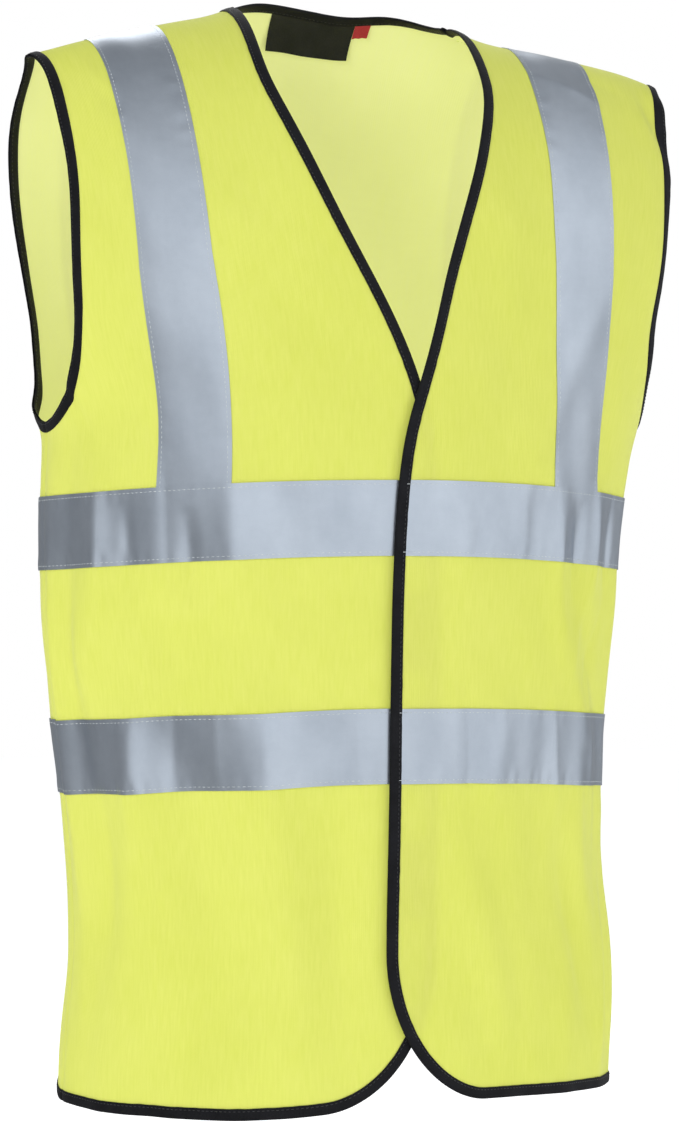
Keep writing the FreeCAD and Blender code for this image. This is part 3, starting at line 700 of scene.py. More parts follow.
def tape_material():
    """Glass-bead reflective tape on woven backing: satin grey with a cool cast."""
    material, tree, shader, _ = new_material("reflective_tape")
    fine = noise(tree, (2400, 2400, 1), 2.0)
    clouds = noise(tree, (26, 12, 1), 4.0)
    worn = noise(tree, (90, 140, 1), 5.0, 0.7)
    tone = weighted(tree, (fine, 0.25), (clouds, 0.55), (worn, 0.20))
    link(tree, coloured(tree, tone, (0.40, 0.445, 0.51), (0.56, 0.61, 0.68)), shader.inputs["Base Color"])
    weave = maths(tree, "MULTIPLY", wave(tree, TAPE_WEAVE, "X"), wave(tree, TAPE_WEAVE, "Y"))
    bumped(tree, shader, weighted(tree, (weave, 0.5), (fine, 0.8)), TAPE_RELIEF, 0.6)
    rough = maths(tree, "ADD", maths(tree, "MULTIPLY", worn, 0.16), 0.26)
    link(tree, rough, shader.inputs["Roughness"])
    set_inputs(shader, {"Metallic": 0.88, "Specular IOR Level": 0.5})
    return material


def woven_material(name, deep, light, rib, relief, roughness=0.75, sheen=0.15, twill=False, specular=0.5):
    """Narrow woven goods: ribs across, threads along, slight lint."""
    material, tree, shader, _ = new_material(name)
    across = wave(tree, rib, "DIAGONAL" if twill else "Y", 0.6)
    along = wave(tree, rib * 0.7, "X", 0.4)
    lint = noise(tree, (900, 900, 1), 4.0, 0.7)
    clouds = noise(tree, (60, 60, 1), 2.0)
    tone = weighted(tree, (lint, 0.5), (clouds, 0.5))
    link(tree, coloured(tree, tone, deep, light, (0.35, 0.72)), shader.inputs["Base Color"])
    bumped(tree, shader, weighted(tree, (across, 1), (along, 0.6), (lint, 0.8)), relief, 0.8)
    set_inputs(shader, {
        "Roughness": roughness, "Specular IOR Level": specular,
        "Sheen Weight": sheen, "Sheen Roughness": 0.4,
    })
    return material


def thread_material(name, deep, light):
    """Twisted sewing thread."""
    material, tree, shader, _ = new_material(name)
    twist = wave(tree, THREAD_TWIST, "DIAGONAL", source="object")
    fibre = noise(tree, (1500, 1500, 1500), 2.0, source="object")
    link(tree, coloured(tree, fibre, deep, light), shader.inputs["Base Color"])
    bumped(tree, shader, twist, THREAD_RELIEF, 0.7)
    set_inputs(shader, {"Roughness": 0.55, "Sheen Weight": 0.2})
    return material


# Both cloth materials carry painted light as emission: a little on the outer face, much more on the inner
# face.
YELLOW = cloth_material(
    "hi_vis_cloth", (0.65, 0.695, 0.105), (0.79, 0.80, 0.215), (0.80, 0.87, 0.22), 0.24, 0.04
)
# The inner face's material is a paler copy of the cloth with strong emission: painted light standing in for
# light that comes through the cloth from behind.
YELLOW_INSIDE_PAINTED_LIGHT = cloth_material(
    "hi_vis_cloth_inside_painted_light", (0.76, 0.78, 0.36), (0.88, 0.88, 0.52), (0.86, 0.90, 0.40), 0.34, 0.31
)
SILVER = tape_material()
BLACK = woven_material(
    "binding", (0.004, 0.004, 0.005), (0.012, 0.012, 0.015), 0.9 * MM, 0.16 * MM, roughness=0.6,
    sheen=0.02, specular=0.18,
)
LABEL_BLACK = woven_material(
    "neck_label", (0.006, 0.006, 0.008), (0.018, 0.018, 0.022), 0.5 * MM, 0.06 * MM, roughness=0.5,
    sheen=0.04, twill=True, specular=0.25,
)
TAB_RED = woven_material("size_tab", (0.36, 0.008, 0.022), (0.55, 0.025, 0.05), 0.6 * MM, 0.08 * MM, 0.6)
CARE_WHITE = woven_material("care_label", (0.74, 0.74, 0.72), (0.86, 0.86, 0.84), 0.4 * MM, 0.04 * MM, 0.4)
HOOK_BLACK = woven_material("hook_tape", (0.010, 0.010, 0.011), (0.028, 0.028, 0.030), 0.8 * MM, 0.1 * MM)
LOOP_BLACK = woven_material("loop_tape", (0.012, 0.012, 0.013), (0.034, 0.034, 0.036), 0.6 * MM, 0.2 * MM)
TAPE_THREAD = thread_material("tape_thread", (0.42, 0.47, 0.50), (0.72, 0.76, 0.74))
YELLOW_THREAD = thread_material("yellow_thread", (0.60, 0.68, 0.08), (0.76, 0.80, 0.16))
BLACK_THREAD = thread_material("black_thread", (0.008, 0.008, 0.009), (0.030, 0.030, 0.034))

# ---- fixing pieces in place


def bend(piece):
    """Bakes the piece's placement into its mesh; nothing folds."""
    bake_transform(piece)


def hang(piece, side):
    """A piece on a front has its placement baked into its mesh; the others stay on the garment."""
    if side:
        bend(piece)
    else:
        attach(piece, "garment")


# ---- cloth panels

CELL = 3.4 * MM
BELOW_HEM = HEM - 6 * MM
STRAIGHT_ROWS = int((ridge(0.15) - CAP - BELOW_HEM) / CELL)
CAP_ROWS = int(0.235 / CELL)
PANEL_ROWS = np.concatenate([np.linspace(0, 1, STRAIGHT_ROWS), np.linspace(1, 2, CAP_ROWS)[1:]])


def keep_armhole(p):
    height = np.where(p[..., 2] < ARM_MIDDLE, ARM_MIDDLE - ARM_FOOT, ARM_TOP - ARM_MIDDLE)
    out = np.hypot(p[..., 1] / ARM_HALF, (p[..., 2] - ARM_MIDDLE) / height)
    return np.where(np.abs(p[..., 0]) > NECK, (out - 1) * ARM_HALF, 1.0)


def keep_front(side):
    def keep(p):
        reach, z = side * p[..., 0], p[..., 2]
        upper = reach - vee_reach(z)
        u = (CORNER_MIDDLE - reach) / CORNER_WIDTH
        v = (CORNER_START - z) / CORNER_FALL
        corner = (1 - np.hypot(u, v)) * CORNER_WIDTH
        hem = z - hem_height(body_angle(p))
        lower = np.where(u > 0, corner, hem)
        return np.minimum(np.where(z > CORNER_START, upper, lower), keep_armhole(p))
    return keep


def keep_back(p):
    neck = (np.hypot(p[..., 0] / BACK_NECK_REACH, p[..., 1] / NECK_BACK) - 1) * NECK_BACK
    neck = np.where(p[..., 2] > -0.06, neck, 1.0)
    return np.minimum(np.minimum(neck, keep_armhole(p)), p[..., 2] - HEM)


def panel(name, angles, keep, side, *nodes):
    base, faces = trimmed(angles, keep)
    # The inner wall takes the paler inside material: painted light for light coming through the cloth from
    # behind.
    piece = two_sided(name + "_cloth", base, faces, -CLOTH, CLOTH, side, [YELLOW, YELLOW_INSIDE_PAINTED_LIGHT])
    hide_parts(*nodes)
    hang(piece, side)
    return piece


def panels():
    """The cloth of both fronts and, as side 0, of the back."""
    made = {}
    for side in (LEFT, RIGHT):
        name = SIDE_NAMES[side] + "_front"
        angles = np.linspace(side * -0.14, side * QUARTER, int(0.31 / CELL))
        made[side] = panel(name, angles, keep_front(side), side, name + "_side", name + "_flap")
    angles = np.linspace(QUARTER, 3 * QUARTER, int(0.55 / CELL))
    made[0] = panel("back", angles, keep_back, 0, "back_panel")
    return made


# ---- reflective tape

UNDER_BINDING = 4.4 * MM     # the tape's end from the front's cut edge
BINDING_EDGE = 7.1 * MM      # the binding's inner edge from the same
TAPE_RISE = 7.0 * MM
TUCKED_LIFT = 0.42 * MM
STITCH_INSET = 2.6 * MM


def under_edge(p, side):
    """How far a tape has come up from under a front's binding, 0 to 1."""
    past = side * p[..., 0] - vee_reach(p[..., 2]) - BINDING_EDGE
    return smooth(np.clip(past / TAPE_RISE, 0, 1))


def grid_row(grid, share):
    """The line of surface points at a share of the grid's width."""
    place_in = share * (grid.shape[1] - 1)
    low = int(place_in)
    return grid[:, low] + (grid[:, low + 1] - grid[:, low]) * (place_in - low)


def tape(name, grid, lift, side, *nodes):
    """A length of tape, and the surface lines of its two stitch rows."""
    base = grid.reshape(-1, 3)
    if side:
        lift = TUCKED_LIFT + (lift - TUCKED_LIFT) * under_edge(base, side)
    faces = grid_faces(*grid.shape[:2])
    piece = two_sided(name + "_tape", base, faces, lift, lift + TAPE, side, [SILVER])
    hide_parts(*nodes)
    hang(piece, side)
    inset = STITCH_INSET / TAPE_WIDTH
    return piece, [grid_row(grid, inset), grid_row(grid, 1 - inset)]


def band(side, level):
    """A band on one front, from its cut edge to the side seam, or round the back."""
    share = np.linspace(0, 1, 130 if side else 250)[:, None]
    step = np.linspace(-0.5, 0.5, 24)[None, :]
    z = BAND_LEVELS[level] + step * TAPE_WIDTH
    first, last = QUARTER, 3 * QUARTER
    if side:
        first, last = angle_at(side * (vee_reach(z) + UNDER_BINDING), z), side * QUARTER
    angle = first + (last - first) * share
    grid = at_angle(angle, band_middle(level, angle) + step * TAPE_WIDTH)
    name = "%s_%s_band" % (SIDE_NAMES[side], level)
    nodes = (name + "_side", name + "_flap") if side else (name,)
    return tape(name, grid, BAND_LIFT, side, *nodes)


def brace(side, front):
    """Tape from under the upper band to the shoulder seam."""
    name = "%s_%s_brace" % (SIDE_NAMES[side], "front" if front else "back")
    middle = float(band_middle("upper", 0.8 if front else math.pi))
    low = middle + TAPE_WIDTH / 2 - BRACE_TUCK
    rows = np.concatenate([np.linspace(0, 1, 70), np.linspace(1, 2, 80)[1:]])
    reach = brace_reach(low * (1 - rows / 2), low, side)
    z = np.full(rows.shape, low)
    for _ in range(8):
        angle = angle_at(side * reach, z)
        angle = angle if front else math.pi - angle
        z = at_row(angle, rows, low)[:, 2]
    small = 0.01
    slope = at_row(angle + small, rows, low) - at_row(angle - small, rows, low)
    arc = TAPE_WIDTH * 2 * small / np.linalg.norm(slope, axis=1)
    steps = np.linspace(-0.5, 0.5, 22)
    grid = at_row(angle[:, None] + steps[None, :] * arc[:, None], rows[:, None], low)
    return tape(name, grid, BRACE_LIFT, 0, name)


# ---- bindings

OUTER = [  # round the folded binding: distance in from the cut edge, height, in mm
    (6.6, 0.50), (6.7, 0.85), (6.3, 1.10), (5.4, 1.16), (4.2, 1.28), (2.6, 1.34), (0.9, 1.26),
    (-0.2, 1.0), (-0.8, 0.55), (-1.0, 0.0),
]
SLOT = [
    (6.4, 0.40), (6.1, 0.40), (5.6, 0.40), (4.7, 0.40), (3.6, 0.40), (2.4, 0.40), (1.0, 0.40),
    (0.3, 0.40), (0.1, 0.25), (0.0, 0.0),
]
BINDING_PITCH = 2.4 * MM
BINDING_STITCH = 5.0 * MM


def mirrored(profile):
    return profile + [(run, -height) for run, height in reversed(profile[:-1])]


def inward_of(path, inward, closed):
    across = np.cross(normal(path), directions(path, closed))
    return inward * across / np.linalg.norm(across, axis=1, keepdims=True)


def binding(name, path, inward, side=0, closed=False):
    """A folded binding along a cut edge."""
    path = resample(path, BINDING_PITCH, closed)
    across = inward_of(path, inward, closed)
    profile = mirrored(OUTER) + mirrored(SLOT)[::-1]
    count, rings = len(profile), len(path)
    along = np.arange(rings) * BINDING_PITCH
    ripple = seam_ripple(along)
    stack, uvs = [], []
    turn = 0.0
    for k, (run, height) in enumerate(profile):
        wander = 0.18 * MM * ripple * (run > 3)
        foot = settle(path + across * (run * MM + wander)[:, None])
        swell = 1 + 0.05 * np.sin(2 * math.pi * along / 0.019) * np.sin(along / 0.007)
        stack.append(place(foot, height * MM * swell, side))
        turn += math.hypot(run - profile[k - 1][0], height - profile[k - 1][1]) * MM if k else 0
        uvs.append(np.stack([np.full(rings, turn), along], -1))
    points = np.stack(stack, 1).reshape(-1, 3)
    uv = np.stack(uvs, 1).reshape(-1, 2)
    faces = []
    for i in range(rings if closed else rings - 1):
        j = (i + 1) % rings
        for k in range(count):
            n = (k + 1) % count
            faces.append([i * count + k, i * count + n, j * count + n, j * count + k])
    if not closed:
        half = len(mirrored(OUTER))
        for ring, flip in ((0, True), (rings - 1, False)):
            for k in range(half - 1):
                a, b = ring * count + k, ring * count + k + 1
                c, d = ring * count + count - 2 - k, ring * count + count - 1 - k
                faces.append([a, d, c, b] if flip else [a, b, c, d])
    middle = rings // 2
    a, b, c = (points[middle * count + k] for k in (3, 4, count + 4))
    if np.dot(np.cross(b - a, c - a), normal(path[middle])) < 0:
        faces = [face[::-1] for face in faces]
    piece = make_object(name, points, faces, [BLACK], uv, None, 80)
    return piece, settle(path + across * BINDING_STITCH)


def front_outline(side):
    """Cut edge of one front: neck point, V, front edge, corner, hem to the side seam."""
    turn = np.linspace(QUARTER, 0, 60)
    z = ridge(NECK) - CAP * (1 - np.sin(turn))
    for _ in range(12):
        x = side * vee_reach(z)
        z = ridge(x) - CAP * (1 - np.sin(turn))
    angle = angle_at(x, z)
    cap = np.stack([x, -depth(z, True) * np.cos(angle) * np.cos(turn), z], -1)
    z = np.linspace(cap[-1, 2], CORNER_START, 160)[1:]
    straight = at_angle(angle_at(side * vee_reach(z), z), z)
    turn = np.linspace(0, QUARTER, 50)[1:]
    x = side * (CORNER_MIDDLE - CORNER_WIDTH * np.cos(turn))
    z = CORNER_START - CORNER_FALL * np.sin(turn)
    corner = at_angle(angle_at(x, z), z)
    angle = side * np.linspace(CORNER_ANGLE, QUARTER, 60)[1:]
    return np.concatenate([cap, straight, corner, at_angle(angle, hem_height(angle))])


def on_back(x, y):
    """Surface points on the back of the shoulder cap."""
    z = np.zeros(np.shape(x))
    for _ in range(12):
        reach = depth(z, False) * np.cos(angle_at(x, z))
        z = ridge(x) - CAP * (1 - np.sqrt(1 - (y / reach) ** 2))
    return np.stack([x, y, z], -1)


NECK_JOIN = 0.04         # radians that the neck binding runs on under the front bindings


def back_neck(past=0.0):
    """Back edge of the neck opening, from the wearer's left to the right."""
    turn = np.linspace(-past, math.pi + past, 90)
    return on_back(BACK_NECK_REACH * np.cos(turn), NECK_BACK * np.sin(turn))


def armhole(side):
    """The armhole's edge from its foot up the front and down the back."""
    turn = np.linspace(0, 2 * math.pi, 260)[:-1]
    y = -ARM_HALF * np.sin(turn)
    fall = np.where(np.cos(turn) > 0, ARM_MIDDLE - ARM_FOOT, ARM_TOP - ARM_MIDDLE)
    z = ARM_MIDDLE - fall * np.cos(turn)
    near, far = np.full(turn.shape, NECK), np.full(turn.shape, WIDTHS[0])
    for _ in range(40):
        middle = (near + far) / 2
        inside = field(np.stack([middle, y, z], -1)) < 0
        near, far = np.where(inside, middle, near), np.where(inside, far, middle)
    return np.stack([side * near, y, z], -1)


# ---- stitches

STITCH_RINGS = [(0.0, 0.35, -1.0), (0.16, 0.9, -0.1), (0.5, 1.0, 0.25), (0.84, 0.9, -0.1), (1.0, 0.35, -1.0)]
STITCH_SIDES = 5


def stitch_faces():
    """Faces of one stitch: rings joined to each other, and a cap at each end."""
    faces = []
    last = (len(STITCH_RINGS) - 1) * STITCH_SIDES
    for low in range(0, last, STITCH_SIDES):
        for k in range(STITCH_SIDES):
            n = (k + 1) % STITCH_SIDES
            faces.append([low + k, low + n, low + STITCH_SIDES + n, low + STITCH_SIDES + k])
    faces.append(list(reversed(range(STITCH_SIDES))))
    faces.append(list(range(last, last + STITCH_SIDES)))
    return faces


def stitches(name, lines, pitch, radius, material):
    """One mesh of separate stitches; lines are (surface points, height, side, closed)."""
    points, faces, count = [], [], 0
    one = stitch_faces()
    for path, height, side, closed in lines:
        row = resample(path, pitch, closed)
        starts = row if closed else row[:-1]
        ends = np.roll(row, -1, 0) if closed else row[1:]
        a = place(starts + (ends - starts) * 0.12, height, side)
        b = place(starts + (ends - starts) * 0.80, height, side)
        up = normal(starts) * (1 if height > 0 else -1)
        across = np.cross(up, (b - a) / np.linalg.norm(b - a, axis=1, keepdims=True))
        block = []
        for share, wide, rise in STITCH_RINGS:
            middle = a + (b - a) * share + up * radius * rise
            for k in range(STITCH_SIDES):
                turn = 2 * math.pi * k / STITCH_SIDES
                block.append(middle + (across * math.cos(turn) + up * math.sin(turn)) * radius * wide)
        points.append(np.stack(block, 1).reshape(-1, 3))
        for _ in range(len(a)):
            faces += [[count + i for i in face] for face in one]
            count += len(block)
    piece = make_object(name, np.concatenate(points), faces, [material], None, None, 180)
    return piece


TAPE_STITCH_PITCH = 3.3 * MM
TAPE_STITCH_RADIUS = 0.23 * MM
BINDING_STITCH_PITCH = 3.0 * MM
BINDING_TOP = 1.22 * MM
OVERLOCK_PITCH, OVERLOCK_RADIUS, OVERLOCK_HEIGHT = 4.5 * MM, 0.2 * MM, -1.4 * MM


# ---- building the garment


SEAM_HALF = 5 * MM
SEAM_FAR, SEAM_NEAR = -1.3 * MM, -0.55 * MM      # heights of the allowance's two faces
SEAM_INSET = 9.6 * MM    # a seam's allowance starts this far from a cut edge


def seam(name, grid):
    """Overlocked seam allowance inside a seam, and its thread's zigzag over the rear half."""
    grid = settle(grid)
    # Both faces of the allowance take the paler, emitting inside material: painted light.
    piece = two_sided(
        name + "_allowance", grid.reshape(-1, 3), grid_faces(*grid.shape[:2]), SEAM_FAR, SEAM_NEAR, 0,
        [YELLOW_INSIDE_PAINTED_LIGHT],
    )
    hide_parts(name)
    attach(piece, "garment")
    return piece, np.array([grid[i, 4 if i % 2 else 6] for i in range(len(grid))])


def seams(side):
    """The shoulder seam and the side seam."""
    across = np.linspace(-SEAM_HALF, SEAM_HALF, 7)
    x, y = np.meshgrid(side * np.linspace(NECK + SEAM_INSET, 0.222, 60), across, indexing="ij")
    shoulder = seam(SIDE_NAMES[side] + "_shoulder_seam", np.stack([x, y, ridge(x)], -1))
    heights = np.linspace(ARM_FOOT - SEAM_INSET, HEM + 8 * MM, 180)
    z, y = np.meshgrid(heights, across, indexing="ij")
    grid = np.stack([side * half_width(z), y, z], -1)
    return [shoulder, seam(SIDE_NAMES[side] + "_side_seam", grid)]


def bound_edge(name, path, inward, side=0, closed=False):
    """A binding and the stitch rows on both its faces."""
    piece, line = binding(name + "_tape", path, inward, side, closed)
    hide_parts(name)
    rows = [(line, height, side, closed) for height in (BINDING_TOP, -BINDING_TOP)]
    thread = stitches(
        name + "_stitches", rows, BINDING_STITCH_PITCH, TAPE_STITCH_RADIUS, BLACK_THREAD
    )
    hang(piece, side)
    hang(thread, side)
    return [piece, thread]


def whole_garment():
    """The panels by side, and the pieces sewn to each of them."""
    cloths = panels()
    tape_rows, sewn = {LEFT: [], RIGHT: [], 0: []}, {LEFT: [], RIGHT: [], 0: []}
    for level in BAND_LEVELS:
        for side in (LEFT, RIGHT, 0):
            piece, rows = band(side, level)
            sewn[side].append(piece)
            tape_rows[side] += [(row, BAND_LIFT + TAPE, side, False) for row in rows]
    for side in (LEFT, RIGHT):
        for front in (True, False):
            piece, rows = brace(side, front)
            sewn[side if front else 0].append(piece)
            tape_rows[0] += [(row, BRACE_LIFT + TAPE, 0, False) for row in rows]
    for side in (LEFT, RIGHT, 0):
        piece = stitches(
            SIDE_NAMES[side] + "_tape_stitches", tape_rows[side], TAPE_STITCH_PITCH,
            TAPE_STITCH_RADIUS, TAPE_THREAD,
        )
        hang(piece, side)
        sewn[side].append(piece)
    for side in (LEFT, RIGHT):
        name = SIDE_NAMES[side]
        sewn[side] += bound_edge(name + "_front_binding", front_outline(side), side, side)
        sewn[0] += bound_edge(name + "_armhole_binding", armhole(side), -side, 0, True)
    turn = np.linspace(QUARTER, 3 * QUARTER, 200)
    sewn[0] += bound_edge("neck_binding", back_neck(NECK_JOIN), -1)
    sewn[0] += bound_edge("hem_binding", at_angle(turn, np.full(turn.shape, HEM)), 1)
    overlock = []
    for piece, line in seams(LEFT) + seams(RIGHT):
        sewn[0].append(piece)
        overlock.append((line, OVERLOCK_HEIGHT, 0, False))
    piece = stitches(
        "overlock_thread", overlock, OVERLOCK_PITCH, OVERLOCK_RADIUS, YELLOW_THREAD
    )
    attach(piece, "garment")
    sewn[0].append(piece)
    return cloths, sewn


cloths, with_cloth = whole_garment()

# ---- labels and patches

WALK_STEP = 0.5 * MM
WALK_STEPS = 84
LABEL_CELL = 1.1 * MM
LABEL_TOP = 6.6 * MM         # below the neck's cut edge, just under the binding
LABEL_HALF, LABEL_HEIGHT = 32.5 * MM, 27.5 * MM
TAB_START, TAB_END, TAB_HEIGHT = 32.6 * MM, 44.3 * MM, 10.5 * MM
LABEL_THICKNESS = 0.5 * MM


def down_back(x, runs):
    """Surface points at distances down the back from the neck's cut edge."""
    p = on_back(x, NECK_BACK * np.sqrt(1 - (x / BACK_NECK_REACH) ** 2))
    trail = [p]
    for _ in range(WALK_STEPS):
        along = np.cross([-1.0, 0.0, 0.0], normal(p))
        y = p[..., 1] + WALK_STEP * along[..., 1] / np.linalg.norm(along, axis=-1)
        p = on_back(x, y)
        trail.append(p)
    trail = np.stack(trail, 1)
    steps = np.asarray(runs) / WALK_STEP
    low = steps.astype(int)
    return trail[:, low] + (trail[:, low + 1] - trail[:, low]) * (steps - low)[None, :, None]


def grid_steps(length):
    return int(round(length / LABEL_CELL)) + 1


def neck_piece(name, node, first, last, height, curl, material):
    """A woven label caught in the back neck seam, lying inside the back."""
    x = np.linspace(first, last, grid_steps(last - first))
    v = np.linspace(0, 1, grid_steps(height))
    grid = down_back(x, LABEL_TOP + v * height)
    u, v = np.meshgrid(np.linspace(-1, 1, len(x)), v, indexing="ij")
    # inside the cloth by so many millimetres: it leans off, curls at its free corners and waves
    off = 0.62 + 0.75 * v + curl * v**3 * (0.35 + u**4) + 0.35 * v * np.sin(2.3 * math.pi * (u + 0.3))
    off = -off.ravel() * MM
    uv = np.stack([grid[..., 0].ravel(), grid[..., 1].ravel()], -1)
    piece = two_sided(
        name, grid.reshape(-1, 3), grid_faces(*u.shape), off - LABEL_THICKNESS, off, 0, [material], uv
    )
    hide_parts(node)
    top, low = down_back(np.zeros(1), np.array([LABEL_TOP, LABEL_TOP + LABEL_HEIGHT * 0.8]))[0]
    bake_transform(piece)
    return piece


CARE_SEAM = np.array([0.1893, 0.0045])
CARE_FOLD = np.array([0.1840, 0.0080])
CARE_RUN = np.array([math.cos(math.radians(114)), math.sin(math.radians(114))])
CARE_WIDTH, CARE_TOP, CARE_LOW = 38 * MM, -0.560, -0.622
CARE_THICKNESS = 0.22 * MM


def care_label():
    """White label hanging inside the side seam, its free end curled a little."""
    run = np.linspace(-1, 1, 44)
    drop = np.linspace(CARE_TOP, CARE_LOW, 50)
    out = np.clip(run, 0, 1)[:, None]
    sewn = np.clip(-run, 0, 1)[:, None]
    line = CARE_FOLD + CARE_RUN * CARE_WIDTH * out + (CARE_SEAM - CARE_FOLD) * sewn
    aside = np.array([CARE_RUN[1], -CARE_RUN[0]])
    share = (CARE_TOP - drop) / (CARE_TOP - CARE_LOW)
    bulge = 1.1 * MM * np.sin(math.pi * out) + 1.6 * MM * out**3 * share[None, :] ** 2
    bulge = bulge + 0.5 * MM * np.sin(2 * math.pi * (share[None, :] * 1.2 + 0.1)) * out
    x = line[:, :1] + aside[0] * bulge
    y = line[:, 1:] + aside[1] * bulge
    z = np.broadcast_to(drop, x.shape)
    base = np.stack([x, y, z], -1)
    half = CARE_THICKNESS / 2 * np.array([aside[0], aside[1], 0])
    outer, inner = (base + half).reshape(-1, 3), (base - half).reshape(-1, 3)
    along = np.broadcast_to((run * CARE_WIDTH)[:, None], x.shape)
    uv = np.stack([along.ravel(), z.ravel()], -1)
    piece = closed_sheet("care_label_sheet", outer, inner, grid_faces(*x.shape), [CARE_WHITE], uv)
    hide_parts("care_label")
    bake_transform(piece)
    return piece


PATCH_CELL = 0.7 * MM
PATCH_NEAR, PATCH_FAR = 0.50 * MM, 1.30 * MM
SELVEDGE, SELVEDGE_SLOPE, SELVEDGE_DROP = 1.6 * MM, 0.8 * MM, 0.35 * MM
HOOK_PITCH, HOOK_HEIGHT = 2.8 * MM, 0.16 * MM
PATCH_STITCH_INSET, PATCH_STITCH_DROP = 1.1 * MM, 0.30 * MM
PATCH_STITCH_PITCH, PATCH_STITCH_RADIUS = 2.2 * MM, 0.2 * MM


def patch(level, kind):
    """Hook or loop tape: a sewn patch with a raised field and flat selvedges."""
    node = "%s_%s_patch" % (level, kind)
    low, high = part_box(node)
    side, face = (LEFT, -1) if kind == "hook" else (RIGHT, 1)
    xs = np.linspace(low[0], high[0], int((high[0] - low[0]) / PATCH_CELL))
    zs = np.linspace(low[2], high[2], int((high[2] - low[2]) / PATCH_CELL))
    x, z = np.meshgrid(xs, zs, indexing="ij")
    base = at_angle(angle_at(x, z), z).reshape(-1, 3)
    x, z = x.ravel(), z.ravel()
    edge = np.minimum.reduce([x - xs[0], xs[-1] - x, z - zs[0], zs[-1] - z])
    raised = np.clip((edge - SELVEDGE) / SELVEDGE_SLOPE, 0, 1)
    bumps = np.sin(2 * math.pi * x / HOOK_PITCH) * np.sin(2 * math.pi * z / HOOK_PITCH)
    far = PATCH_FAR - SELVEDGE_DROP * (1 - raised) + HOOK_HEIGHT * bumps * raised
    near = np.full(x.shape, PATCH_NEAR)
    heights = (near, far) if face > 0 else (-far, -near)
    material = HOOK_BLACK if kind == "hook" else LOOP_BLACK
    piece = two_sided(
        node + "_tape", base, grid_faces(len(xs), len(zs)), *heights, side, [material], np.stack([x, z], -1)
    )
    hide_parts(node)
    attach(piece, SIDE_NAMES[side] + "_front")
    (x0, x1), (z0, z1) = ((ends[0] + PATCH_STITCH_INSET, ends[-1] - PATCH_STITCH_INSET) for ends in (xs, zs))
    corners = np.array([(x0, z0), (x1, z0), (x1, z1), (x0, z1)])
    share = np.linspace(0, 1, 12)[:-1, None]
    line = np.concatenate([a + (b - a) * share for a, b in zip(corners, np.roll(corners, -1, 0))])
    path = at_angle(angle_at(line[:, 0], line[:, 1]), line[:, 1])
    thread = stitches(
        node + "_stitches", [(path, face * (PATCH_FAR - PATCH_STITCH_DROP), side, True)],
        PATCH_STITCH_PITCH, PATCH_STITCH_RADIUS, BLACK_THREAD,
    )
    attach(thread, SIDE_NAMES[side] + "_front")
    return [piece, thread]


for patch_level in PATCH_LEVELS:
    with_cloth[LEFT] += patch(patch_level, "hook")
    with_cloth[RIGHT] += patch(patch_level, "loop")
neck_label = neck_piece(
    "neck_label_woven", "neck_label", -LABEL_HALF, LABEL_HALF, LABEL_HEIGHT, 1.1, LABEL_BLACK
)
size_tab = neck_piece("size_tab_woven", "size_tab", TAB_START, TAB_END, TAB_HEIGHT, 0.4, TAB_RED)
care = care_label()

# ---- stage, light and camera

CAMERA_AZIMUTH = -19.4       # degrees
CAMERA_DISTANCE = 2.6
CAMERA_HEIGHT = -0.406
LENS, SENSOR = 120, 36       # millimetres
SHIFT_X, SHIFT_Y = 0.0045, 0.035

FLOOR, FLOOR_REACH = HEM - 0.16, 9.0
FLOOR_GLOW = 0.66
LIGHTS = [  # name, place, height aimed at, size, watts, mirrored in the tape
    ("key", (-2.2, -1.5, 0.8), -0.35, 1.2, 29, False),
    ("fill", (2.3, -1.9, 0.4), -0.4, 1.2, 17, False),
    ("top_back", (0.3, 1.6, 1.4), -0.2, 1.6, 14, True),
]
ROOM_FRONT, ROOM_BACK = (0.47, 0.48, 0.51), (0.20, 0.205, 0.22)
ROOM_STOPS = (0.30, 0.86)    # where the room's light starts and ends its change, front to back

# What the tape mirrors: its brightness along a measure that grows towards the front, the
# wearer's left and up, and falls again overhead.
MIRROR_X, MIRROR_Y, MIRROR_Z, MIRROR_OVERHEAD = 0.15, -0.46, 0.34, 0.60
MIRROR_STRENGTH = 1.22
MIRROR_TINT = (0.95, 0.98, 1.0)
MIRROR_STOPS = [
    (0.0, 0.20), (0.50, 0.32), (0.60, 0.50), (0.70, 0.68), (0.79, 0.86), (0.92, 0.93), (1.0, 1.0),
]


def area_light(name, location, aim_height, size, power, mirrored):
    data = bpy.data.lights.new(name, "AREA")
    data.shape = "DISK"
    data.size = size
    data.energy = power
    light = bpy.data.objects.new(name, data)
    bpy.context.scene.collection.objects.link(light)
    light.location = location
    light.visible_glossy = mirrored
    aim = Vector((0, 0, aim_height)) - Vector(location)
    light.rotation_mode = "QUATERNION"
    light.rotation_quaternion = aim.to_track_quat("-Z", "Y")


def studio_floor():
    material, _, shader, _ = new_material("studio_floor")
    set_inputs(shader, {
        "Base Color": (0.93, 0.93, 0.93, 1), "Roughness": 0.9,
        "Emission Color": (1, 1, 1, 1), "Emission Strength": FLOOR_GLOW,
    })
    corners = [(x * FLOOR_REACH, y * FLOOR_REACH, FLOOR) for x, y in ((-1, -1), (1, -1), (1, 1), (-1, 1))]
    floor = make_object("studio_floor", corners, [(0, 1, 2, 3)], [material])
    floor.visible_glossy = False


def background(tree, strength, colour):
    """A background in one colour, or in a socket's."""
    node = tree.nodes.new("ShaderNodeBackground")
    node.inputs["Strength"].default_value = strength
    if isinstance(colour, tuple):
        node.inputs["Color"].default_value = (*colour, 1)
    else:
        link(tree, colour, node.inputs["Color"])
    return node.outputs[0]


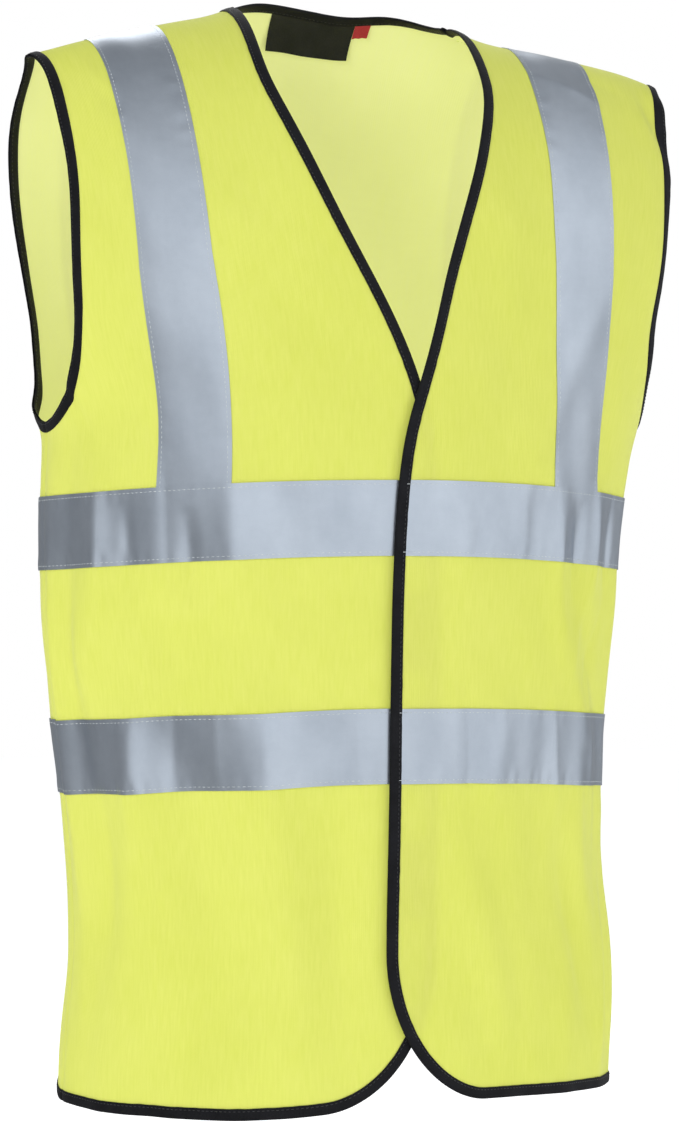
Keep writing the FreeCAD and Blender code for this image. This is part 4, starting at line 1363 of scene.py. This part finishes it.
def mirrored_room(tree, x, y, z):
    """Brightness of what the tape mirrors, by direction."""
    toward = weighted(tree, (x, MIRROR_X), (y, MIRROR_Y), (z, MIRROR_Z))
    overhead = maths(tree, "MULTIPLY", maths(tree, "MULTIPLY", z, z), MIRROR_OVERHEAD)
    toward = maths(tree, "SUBTRACT", toward, overhead)
    shine = tree.nodes.new("ShaderNodeValToRGB")
    shine.color_ramp.interpolation = "EASE"
    stops = shine.color_ramp.elements
    for _ in range(len(MIRROR_STOPS) - len(stops)):
        stops.new(0.5)
    for stop, (along, level) in zip(stops, MIRROR_STOPS):
        stop.position = along
        stop.color = (*(level * tint for tint in MIRROR_TINT), 1)
    link(tree, maths(tree, "ADD", toward, 0.5), shine.inputs[0])
    return shine.outputs[0]


def studio_world():
    """White behind the picture, soft light on the cloth, and a room of its own in the tape."""
    world = bpy.data.worlds.new("studio")
    world.use_nodes = True
    bpy.context.scene.world = world
    tree = world.node_tree
    tree.nodes.clear()
    coords = tree.nodes.new("ShaderNodeTexCoord")
    split = tree.nodes.new("ShaderNodeSeparateXYZ")
    link(tree, coords.outputs["Generated"], split.inputs[0])
    x, y, z = split.outputs
    to_back = maths(tree, "ADD", maths(tree, "MULTIPLY", y, 0.5), 0.5)
    lit = background(tree, 1.0, coloured(tree, to_back, ROOM_FRONT, ROOM_BACK, ROOM_STOPS))
    mirror = background(tree, MIRROR_STRENGTH, mirrored_room(tree, x, y, z))
    seen = background(tree, 1.0, (1, 1, 1))
    path = tree.nodes.new("ShaderNodeLightPath")
    glossy = mixed(tree, path.outputs["Is Glossy Ray"], lit, mirror)
    out = tree.nodes.new("ShaderNodeOutputWorld")
    link(tree, mixed(tree, path.outputs["Is Camera Ray"], glossy, seen), out.inputs[0])


def photo_camera():
    data = bpy.data.cameras.new("camera")
    data.lens, data.sensor_width = LENS, SENSOR
    data.sensor_fit = "AUTO"
    data.shift_x, data.shift_y = SHIFT_X, SHIFT_Y
    camera = bpy.data.objects.new("camera", data)
    bpy.context.scene.collection.objects.link(camera)
    turn = math.radians(CAMERA_AZIMUTH)
    ahead = Vector((-math.sin(turn), math.cos(turn), 0))
    camera.location = -ahead * CAMERA_DISTANCE + Vector((0, 0, CAMERA_HEIGHT))
    camera.rotation_mode = "QUATERNION"
    camera.rotation_quaternion = ahead.to_track_quat("-Z", "Y")
    bpy.context.scene.camera = camera


studio_floor()
studio_world()
for light_facts in LIGHTS:
    area_light(*light_facts)
photo_camera()
bpy.context.scene.view_settings.view_transform = "Standard"
